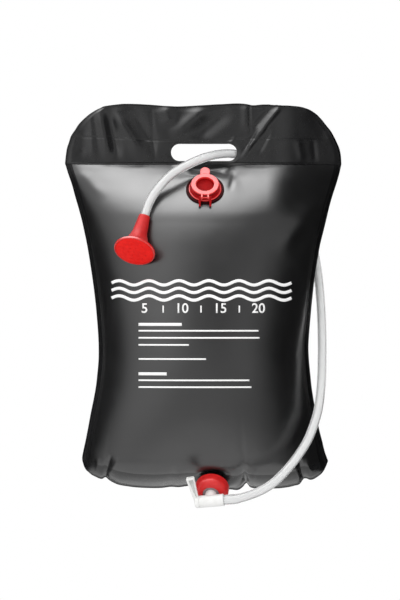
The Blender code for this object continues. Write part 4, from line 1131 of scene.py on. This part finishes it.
def add_tap_body(white, hollow):
    """Barrel with its tail, tail flange and hose barb, bored for the plug and the water's way. The tail
    flange is a darker grey: painted shade.
    """
    left, right = -BARREL_LEFT, BARREL_RIGHT
    ends = [(0, left), (BARREL_RADIUS, left), (BARREL_RADIUS, right), (0, right)]
    barrel = [ends[0], *corner_curve(*ends[:3], CLEARANCE), *corner_curve(*ends[1:], BARREL_EDGE), ends[-1]]
    barb = [(0, 0), (BARB_RADIUS, 0)]
    for ridge in barb_ridges():
        low = BARREL_RIGHT + ridge
        barb += [(BARB_RADIUS, low), (BARB_RADIUS + BARB_RIDGE, low), (BARB_RADIUS, low + BARB_SPACING / 2)]
    barb += [(BARB_RADIUS, BARB_END), (0, BARB_END)]
    down = Matrix.Translation((0, 0, -BARREL_HEIGHT))
    tail = rounded([
        (0, TAIL_LOW),
        (TAIL_FLANGE_RADIUS, TAIL_LOW),
        (TAIL_FLANGE_RADIUS, TAIL_TOP),
        (TAIL_RADIUS, TAIL_TOP),
        (TAIL_RADIUS, BARREL_HEIGHT),
        (0, BARREL_HEIGHT),
    ])
    shapes = [along_x(turned(barrel)), along_x(turned(barb)), changed(turned(tail), down)]
    body = moulded("tap_barrel", shapes, white)
    cut(body, along_x(rod(BARREL_BORE_RADIUS, -BARREL_LEFT - EDGE, BARREL_BORE_END)))
    cut(body, along_x(rod(BARB_BORE_RADIUS, 0, BARB_END + EDGE)))
    cut(body, changed(rod(TAIL_BORE_RADIUS, TAIL_LOW - EDGE, BARREL_HEIGHT), down))
    # Painted shade: the tail flange, seen inside the collar's hole, gets the darker grey
    body.data.materials.append(hollow)
    mark(body, lambda spot: spot.z < TAIL_TOP - BARREL_HEIGHT + EDGE, 1)
    placed(body, BARREL_FRAME)
    stands_for(body, "bag", "white_plastic", "tap_body")


def wing_edges(height):
    """Left and right edges of the lever's wing at a height over the barrel's axis."""
    root = HUB_RIGHT - WING_RIB / 2
    share = (height - WING_ROOT) / (WING_LENGTH - WING_ROOT)
    right = root + share * (WING_WIDTH / 2 - WING_LEAN)
    left_root = root + HUB_LEFT - HUB_RIGHT + WING_RIB
    left_tip = root - WING_LEAN - WING_WIDTH / 2
    return left_root + share * (left_tip - left_root), right


def add_tap_lever(white, grey):
    """Wing lever: a rounded hub and a leaning wing with a rib round its recess. The recess floors are a
    darker grey: painted shade.
    """
    left, right = HUB_LEFT, HUB_RIGHT
    corner = corner_curve((0, left), (BARREL_RADIUS, left), (BARREL_RADIUS, right), HUB_ROUND, HUB_STEPS)
    hub = [(0, left), *corner, (BARREL_RADIUS, right), (0, right)]
    root_left, root_right = wing_edges(WING_ROOT)
    tip_left, tip_right = wing_edges(WING_LENGTH)
    outline = [
        (root_right, -WING_ROOT),
        (root_right, WING_ROOT),
        (tip_right, WING_LENGTH),
        (tip_left, WING_LENGTH - WING_TIP_SLOPE),
        (root_left, -WING_ROOT),
    ]
    wing = extruded(rounded(outline, WING_CORNER), -WING_HALF, WING_HALF)
    lever = moulded("tap_wing_lever", [along_x(turned(hub)), wing], white)
    low = BARREL_RADIUS + WING_RIB / 2
    high = WING_LENGTH - 2 * WING_RIB
    low_left, low_right = wing_edges(low)
    high_left, high_right = wing_edges(high)
    recess = [
        (low_right - WING_RIB, low),
        (high_right - WING_RIB, high),
        (high_left + 2 * WING_RIB, high - WING_TIP_SLOPE),
        (low_left + 2 * WING_RIB, low),
    ]
    floor = WING_HALF - WING_RECESS
    cut(lever, extruded(recess, floor, WING_HALF + EDGE))
    cut(lever, extruded(recess, -WING_HALF - EDGE, -floor))
    cut(lever, along_x(rod(STEM_SOCKET_RADIUS, STEM_SOCKET_END, HUB_RIGHT + EDGE)))
    # Painted shade: the recess floors get the darker grey
    lever.data.materials.append(grey)
    for face in lever.data.polygons:
        left, right = wing_edges(face.center.y)
        inside = left + 2 * WING_RIB - EDGE < face.center.x < right - WING_RIB + EDGE and low < face.center.y
        face.material_index = int(inside and abs(face.center.z) < floor + CLEARANCE)
    placed(lever, BARREL_FRAME)
    stands_for(lever, "tap_lever", "white_plastic", "tap_lever")


def head_middle():
    """Where the shower head's neck starts to bend."""
    return HEAD_CENTRE - HEAD_NORMAL * ((HEAD_NECK_TOP - HEAD_CENTRE).length * HEAD_BEND_SHARE)


def head_place(share):
    """Centre and direction of the shower head's section, from the face at 0 to the neck's top at 1."""
    length = (HEAD_NECK_TOP - HEAD_CENTRE).length
    back = -HEAD_NORMAL
    rim_share = HEAD_RIM_DEPTH / length
    socket_share = 1 - HEAD_SOCKET_DEPTH / length
    rim_end = HEAD_CENTRE + back * HEAD_RIM_DEPTH
    neck = (HEAD_NECK_TOP - head_middle()).normalized()
    socket_end = HEAD_NECK_TOP - neck * HEAD_SOCKET_DEPTH
    if share <= rim_share:
        return HEAD_CENTRE + back * length * share, back
    if share >= socket_share:
        part = (share - socket_share) / (1 - socket_share)
        return socket_end.lerp(HEAD_NECK_TOP, part), neck
    part = (share - rim_share) / (socket_share - rim_share)
    first = rim_end.lerp(head_middle(), part)
    second = head_middle().lerp(socket_end, part)
    return first.lerp(second, part), (second - first).normalized()


def add_shower_head(red, gloss):
    """Shower head's hollow body: rounded rim, dish and neck. The body is a darker red as painted shade, and
    its rim band a brighter, glossier red as painted highlight along with real gloss.
    """
    length = (HEAD_NECK_TOP - HEAD_CENTRE).length
    socket_share = 1 - HEAD_SOCKET_DEPTH / length
    ledge = (FACE_THICKNESS + CLEARANCE) / length
    shares = [share for share, _ in HEAD_SHARES]
    shares = np.unique(np.concatenate([shares, np.linspace(*HEAD_SPAN_SHARES, HEAD_SECTIONS)]))
    sections = [(share, HEAD_RADIUS * width) for share, width in zip(shares, table_at(HEAD_SHARES, shares))]
    sections += [(1, HEAD_NECK_RADIUS - EDGE), (1, HEAD_SOCKET_RADIUS), (socket_share, HEAD_SOCKET_RADIUS)]
    sections += [(share, HEAD_RADIUS * width) for share, width in HEAD_INNER_SHARES]
    seat = HEAD_RADIUS - HEAD_RIM_WALL
    sections += [(ledge, HEAD_RADIUS * HEAD_INNER_SHARES[-1][1]), (ledge, seat), (0, seat)]
    shape = bmesh.new()
    turns = [math.tau * step / SIDES for step in range(SIDES)]
    rings = []
    for share, radius in sections:
        centre, direction = head_place(share)
        side = direction.cross(Vector((0, 1, 0))).normalized()
        other = direction.cross(side)
        around = [side * math.cos(turn) + other * math.sin(turn) for turn in turns]
        rings.append([shape.verts.new(centre + way * radius) for way in around])
    join_rings(shape, list(zip(rings, rings[1:] + rings[:1])))
    head = add_object("shower_head_rose", mesh_of(shape, "shower_head_rose"), red)
    smooth_normals(head, HEAD_SHARP)
    # Painted highlight along with real gloss: the rim band gets a brighter, glossier red than the darker body
    head.data.materials.append(gloss)
    mark(head, lambda spot: (HEAD_CENTRE - spot).dot(HEAD_NORMAL) < HEAD_RIM_DEPTH + EDGE, 1)
    stands_for(head, "bag", "red_plastic", "shower_head_body")


def add_spray_plate(red):
    """Spray plate, slightly domed, with rings of holes, in a brighter copy of the red as painted light."""
    shares = np.linspace(*FACE_SPAN_SHARES, FACE_SECTIONS)
    dome = [(FACE_RADIUS * share, FACE_DOME * (1 - share**2)) for share in shares]
    back = -FACE_THICKNESS
    profile = [(0, back), (FACE_RADIUS, back), (FACE_RADIUS, -EDGE), *dome, (0, FACE_DOME)]
    plate = add_object("shower_head_plate", mesh_of(turned(profile), "shower_head_plate"), red)
    holes = bmesh.new()
    places = [(0, 0)]
    for ring in range(1, SPRAY_RINGS + 1):
        count = ring * SPRAY_HOLES_PER_RING
        places += arc((0, 0), ring * SPRAY_RING_SPACING, 0, 360 - 360 / count, count - 1)
    for centre in places:
        outline = arc(centre, SPRAY_HOLE_RADIUS, 0, 360 - 360 / SPRAY_HOLE_SIDES, SPRAY_HOLE_SIDES - 1)
        holes.from_mesh(mesh_of(extruded(outline, back - EDGE, FACE_DOME + EDGE), "hole"))
    cut(plate, holes)
    smooth_normals(plate, FACE_SHARP)
    placed(plate, Matrix.Translation(HEAD_CENTRE) @ HEAD_NORMAL.to_track_quat("Z", "Y").to_matrix().to_4x4())
    stands_for(plate, "bag", "red_plastic", "shower_head_face")


def ribbon_shape(shape, line, half_width):
    """Add a flat ribbon along a line of (x, z) points, in the plane of the photograph."""
    line = np.asarray(line, float)
    along = np.gradient(line, axis=0)
    along /= np.linalg.norm(along, axis=1)[:, None]
    across = np.stack([-along[:, 1], along[:, 0]], axis=1) * half_width
    rails = [[shape.verts.new((x, 0, z)) for x, z in line + across * side] for side in (-1, 0, 1)]
    for first, second in zip(rails, rails[1:]):
        for step in range(len(line) - 1):
            shape.faces.new((first[step], first[step + 1], second[step + 1], second[step]))


def number_mesh():
    """Plain numbers of a scale, as flat shapes in the plane of the photograph."""
    whole = bmesh.new()
    for value, column in NUMBER_PLACES_PX:
        curve = bpy.data.curves.new("number", "FONT")
        curve.body = str(value)
        curve.size = NUMBER_HEIGHT_PX * PIXEL
        curve.align_x = "CENTER"
        curve.offset = EDGE / 2
        item = bpy.data.objects.new("number", curve)
        bpy.context.scene.collection.objects.link(item)
        bpy.context.view_layer.update()
        mesh = bpy.data.meshes.new_from_object(item.evaluated_get(bpy.context.evaluated_depsgraph_get()))
        x, z = at(column, NUMBER_ROW_PX)
        mesh.transform(Matrix.Translation((x, 0, z)) @ Matrix.Rotation(math.pi / 2, 4, "X"))
        whole.from_mesh(mesh)
        bpy.data.objects.remove(item)
    bmesh.ops.triangulate(whole, faces=whole.faces)
    bmesh.ops.remove_doubles(whole, verts=whole.verts, dist=CLEARANCE / 10)
    return whole


def add_print(skin, ink):
    """Generic print on the front skin: three waves, a scale's numbers, and plain bars."""
    shape = number_mesh()
    start, end = WAVE_SPAN_PX
    columns = np.linspace(start, end, WAVE_STEPS)
    for row in WAVE_ROWS_PX:
        heights = row - WAVE_HEIGHT_PX * np.sin((columns - start) / WAVE_LENGTH_PX * math.tau)
        ribbon_shape(shape, [at(*place) for place in zip(columns, heights)], WAVE_HALF_PX * PIXEL)
    for (_, first), (_, second) in zip(NUMBER_PLACES_PX, NUMBER_PLACES_PX[1:]):
        column = (first + second) / 2
        rows = np.linspace(*TICK_SPAN_PX, TICK_STEPS)
        ribbon_shape(shape, [at(column, row) for row in rows], TICK_HALF_PX * PIXEL)
    for row, left, right, half in BARS_PX:
        columns = np.linspace(left, right, int((right - left) / BAR_STEP_PX))
        ribbon_shape(shape, [at(column, row) for column in columns], half * PIXEL)
    tree = BVHTree.FromPolygons(
        [vertex.co for vertex in skin.data.vertices],
        [tuple(face.vertices) for face in skin.data.polygons],
    )
    for vertex in shape.verts:
        start = Vector((vertex.co.x, -INK_FROM, vertex.co.z))
        spot, normal, _, _ = tree.ray_cast(start, Vector((0, 1, 0)))
        vertex.co = spot + normal * INK_PROUD
    bmesh.ops.recalc_face_normals(shape, faces=shape.faces)
    for face in shape.faces:
        if face.normal.y > 0:
            face.normal_flip()
    mesh = bpy.data.meshes.new("front_print")
    shape.to_mesh(mesh)
    shape.free()
    item = add_object("front_print", mesh, ink)
    solid = item.modifiers.new("ink", "SOLIDIFY")
    solid.thickness = INK_THICKNESS
    solid.offset = -1
    apply_modifiers(item)
    stands_for(item, "bag", "white_plastic")


def node(nodes, kind, **settings):
    """Add a shader node with its settings."""
    item = nodes.new(kind)
    for name, value in settings.items():
        setattr(item, name, value)
    return item


def number(nodes, operation, *values):
    """Add a math node whose inputs are sockets or numbers, and give its result."""
    item = node(nodes, "ShaderNodeMath", operation=operation)
    for place, value in enumerate(values):
        if isinstance(value, (int, float)):
            item.inputs[place].default_value = value
        else:
            item.id_data.links.new(value, item.inputs[place])
    return item.outputs[0]


def ramp(nodes, value, low, high, start=0.0, end=1.0):
    """Go smoothly from start to end as a socket's value goes from low to high."""
    item = node(nodes, "ShaderNodeMapRange", interpolation_type="SMOOTHSTEP")
    for name, setting in (("From Min", low), ("From Max", high), ("To Min", start), ("To Max", end)):
        item.inputs[name].default_value = setting
    item.id_data.links.new(value, item.inputs["Value"])
    return item.outputs[0]


def noise(nodes, scale, detail):
    """Noise in the object's own metres, with this many patches to the metre."""
    place = node(nodes, "ShaderNodeTexCoord")
    item = node(nodes, "ShaderNodeTexNoise")
    item.inputs["Scale"].default_value = scale
    item.inputs["Detail"].default_value = detail
    item.id_data.links.new(place.outputs["Object"], item.inputs["Vector"])
    return item.outputs["Fac"]


def mixed(nodes, factor, first, second):
    """Mix two colours by a socket."""
    item = node(nodes, "ShaderNodeMix", data_type="RGBA")
    item.id_data.links.new(factor, item.inputs["Factor"])
    item.inputs[6].default_value = (*first, 1)
    item.inputs[7].default_value = (*second, 1)
    return item.outputs[2]


def surface(name, colours, roughness, patches, grain, specular, coat=NO_COAT):
    """A principled material whose colour and roughness wander in patches, with a grain of bumps."""
    material = bpy.data.materials.new(name)
    material.use_nodes = True
    nodes = material.node_tree.nodes
    links = material.node_tree.links
    shader = nodes["Principled BSDF"]
    shader.inputs["Specular IOR Level"].default_value = specular
    shader.inputs["Coat Weight"].default_value = coat[0]
    shader.inputs["Coat Roughness"].default_value = coat[1]
    colour = ramp(nodes, noise(nodes, patches, PATCH_DETAIL), *PATCH_SPAN)
    links.new(mixed(nodes, colour, *colours), shader.inputs["Base Color"])
    wander = ramp(nodes, noise(nodes, patches * WANDER_SCALE, WANDER_DETAIL), *WANDER_SPAN, *roughness)
    links.new(wander, shader.inputs["Roughness"])
    normal = None
    for scale, height in grain:
        bump = node(nodes, "ShaderNodeBump")
        bump.inputs["Strength"].default_value = 1.0
        bump.inputs["Distance"].default_value = height
        links.new(noise(nodes, scale, GRAIN_DETAIL), bump.inputs["Height"])
        if normal:
            links.new(normal, bump.inputs["Normal"])
        normal = bump.outputs[0]
    links.new(normal, shader.inputs["Normal"])
    return material


def clear_up(material):
    """Let light through the hose's wall."""
    shader = material.node_tree.nodes["Principled BSDF"]
    shader.inputs["Transmission Weight"].default_value = HOSE_TRANSMISSION
    shader.inputs["IOR"].default_value = HOSE_IOR


def grey_edges(material):
    """Paint shade on the hose's milky bore: darken its colour where it turns away from the viewer at both
    edges.
    """
    nodes = material.node_tree.nodes
    links = material.node_tree.links
    shader = nodes["Principled BSDF"]
    edge = node(nodes, "ShaderNodeLayerWeight")
    grey = ramp(nodes, edge.outputs["Facing"], *HOSE_EDGE_SPAN, 1.0, HOSE_PAINTED_EDGE_SHADE)
    scale = node(nodes, "ShaderNodeVectorMath", operation="SCALE")
    links.new(shader.inputs["Base Color"].links[0].from_socket, scale.inputs[0])
    links.new(grey, scale.inputs["Scale"])
    links.new(scale.outputs[0], shader.inputs["Base Color"])


def make_materials():
    """All finishes of the bag and its fittings."""
    finishes = {name: surface(*finish) for name, finish in FINISHES.items()}
    clear_up(finishes["clear"])
    grey_edges(finishes["milky"])
    return finishes


def add_camera():
    """A long lens at the photograph's level view, framed as the photograph is."""
    data = bpy.data.cameras.new("camera")
    camera = bpy.data.objects.new("camera", data)
    bpy.context.scene.collection.objects.link(camera)
    x, z = at(IMAGE_PX[0] / 2, IMAGE_PX[1] / 2)
    camera.location = (x, -CAMERA_DISTANCE, z)
    camera.rotation_euler = (math.pi / 2, 0, 0)
    data.sensor_width = SENSOR
    data.lens = SENSOR * CAMERA_DISTANCE / (IMAGE_PX[1] * PIXEL)
    data.clip_end = CAMERA_CLIP_END
    bpy.context.scene.camera = camera


def seen_directly(nodes, *kinds):
    """1 for the named kinds of rays, and 0 for the light that falls on things."""
    light = node(nodes, "ShaderNodeLightPath")
    total = light.outputs[kinds[0]]
    for kind in kinds[1:]:
        total = number(nodes, "MAXIMUM", total, light.outputs[kind])
    return total


def floor_material():
    """Pale floor: nearly white to the camera, in gloss and through clear plastic, and still shaded."""
    material = bpy.data.materials.new("studio_floor")
    material.use_nodes = True
    nodes = material.node_tree.nodes
    links = material.node_tree.links
    shader = nodes["Principled BSDF"]
    shader.inputs["Base Color"].default_value = FLOOR_COLOUR
    shader.inputs["Roughness"].default_value = FLOOR_ROUGHNESS
    shader.inputs["Specular IOR Level"].default_value = FLOOR_SPECULAR
    seen = seen_directly(nodes, "Is Camera Ray", "Is Glossy Ray", "Is Transmission Ray")
    share = number(nodes, "MULTIPLY", seen, FLOOR_WHITE_SHARE)
    white = node(nodes, "ShaderNodeEmission")
    mix = node(nodes, "ShaderNodeMixShader")
    links.new(share, mix.inputs["Fac"])
    links.new(shader.outputs[0], mix.inputs[1])
    links.new(white.outputs[0], mix.inputs[2])
    links.new(mix.outputs[0], nodes["Material Output"].inputs["Surface"])
    return material


def toward(nodes, axes, direction):
    """How much a ray goes in a direction: its cosine."""
    total = number(nodes, "MULTIPLY", axes[0], direction[0])
    for axis, share in zip(axes[1:], direction[1:]):
        total = number(nodes, "MULTIPLY_ADD", axis, share, total)
    return total


def boxes(nodes, axes):
    """What gloss sees in each direction: the sum of the boxes and a little light from the room."""
    total = ROOM_LIGHT
    for name, (direction, low, high, strength) in BOXES.items():
        light = ramp(nodes, toward(nodes, axes, direction), low, high, 0.0, strength)
        for way, start, end in BOX_FADES.get(name, ()):
            fade = ramp(nodes, toward(nodes, axes, way), start, end, 1.0, 0.0)
            light = number(nodes, "MULTIPLY", light, fade)
        total = number(nodes, "ADD", light, total)
    return total


def add_world():
    """A studio's light by direction: soft from the upper left on all surfaces, and boxes in gloss.

    The camera and clear plastic see plain white, and gloss sees the same white behind the object.
    """
    world = bpy.data.worlds.new("studio")
    bpy.context.scene.world = world
    world.use_nodes = True
    world.cycles.sampling_method = "NONE"
    nodes = world.node_tree.nodes
    links = world.node_tree.links
    place = node(nodes, "ShaderNodeTexCoord")
    split = node(nodes, "ShaderNodeSeparateXYZ")
    links.new(place.outputs["Generated"], split.inputs[0])
    direction, *strengths = SOFT_LIGHT
    soft = ramp(nodes, toward(nodes, split.outputs, direction), *strengths)
    inside = node(nodes, "ShaderNodeMix", data_type="FLOAT")
    links.new(seen_directly(nodes, "Is Glossy Ray"), inside.inputs["Factor"])
    links.new(soft, inside.inputs["A"])
    links.new(boxes(nodes, split.outputs), inside.inputs["B"])
    mix = node(nodes, "ShaderNodeMix", data_type="FLOAT")
    links.new(seen_directly(nodes, "Is Camera Ray", "Is Transmission Ray"), mix.inputs["Factor"])
    links.new(inside.outputs["Result"], mix.inputs["A"])
    mix.inputs["B"].default_value = 1.0
    background = nodes["Background"]
    background.inputs["Color"].default_value = (1, 1, 1, 1)
    links.new(mix.outputs["Result"], background.inputs["Strength"])


def add_stage():
    """White floor well under the hanging bag."""
    place = (0, 0, -FLOOR_DEPTH)
    bpy.ops.mesh.primitive_circle_add(vertices=SIDES, radius=FLOOR_RADIUS, fill_type="NGON", location=place)
    floor = bpy.context.object
    floor.name = "floor"
    floor.data.materials.append(floor_material())


def main():
    """Build the stage, the finishes and every visible piece."""
    bpy.context.scene.view_settings.view_transform = "Standard"
    add_camera()
    add_stage()
    add_world()
    finishes = make_materials()
    skins = add_bag((finishes["sheet"], finishes["flap"], finishes["rim"]))
    add_print(skins["bag_front"], finishes["ink"])
    add_filler_flange(finishes["dark"], finishes["neck"], finishes["cap"])
    add_filler_cap(finishes["cap"], finishes["shade"])
    add_collar(finishes["red"])
    add_tap_body(finishes["white"], finishes["hollow"])
    add_tap_lever(finishes["white"], finishes["grey"])
    add_shower_head(finishes["stem"], finishes["gloss"])
    add_spray_plate(finishes["face"])
    add_hose(finishes["clear"], finishes["milky"])
    for name, finish in KEPT_NODES.items():
        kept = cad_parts[name]
        kept.data.materials.clear()
        kept.data.materials.append(finishes[finish])


main()
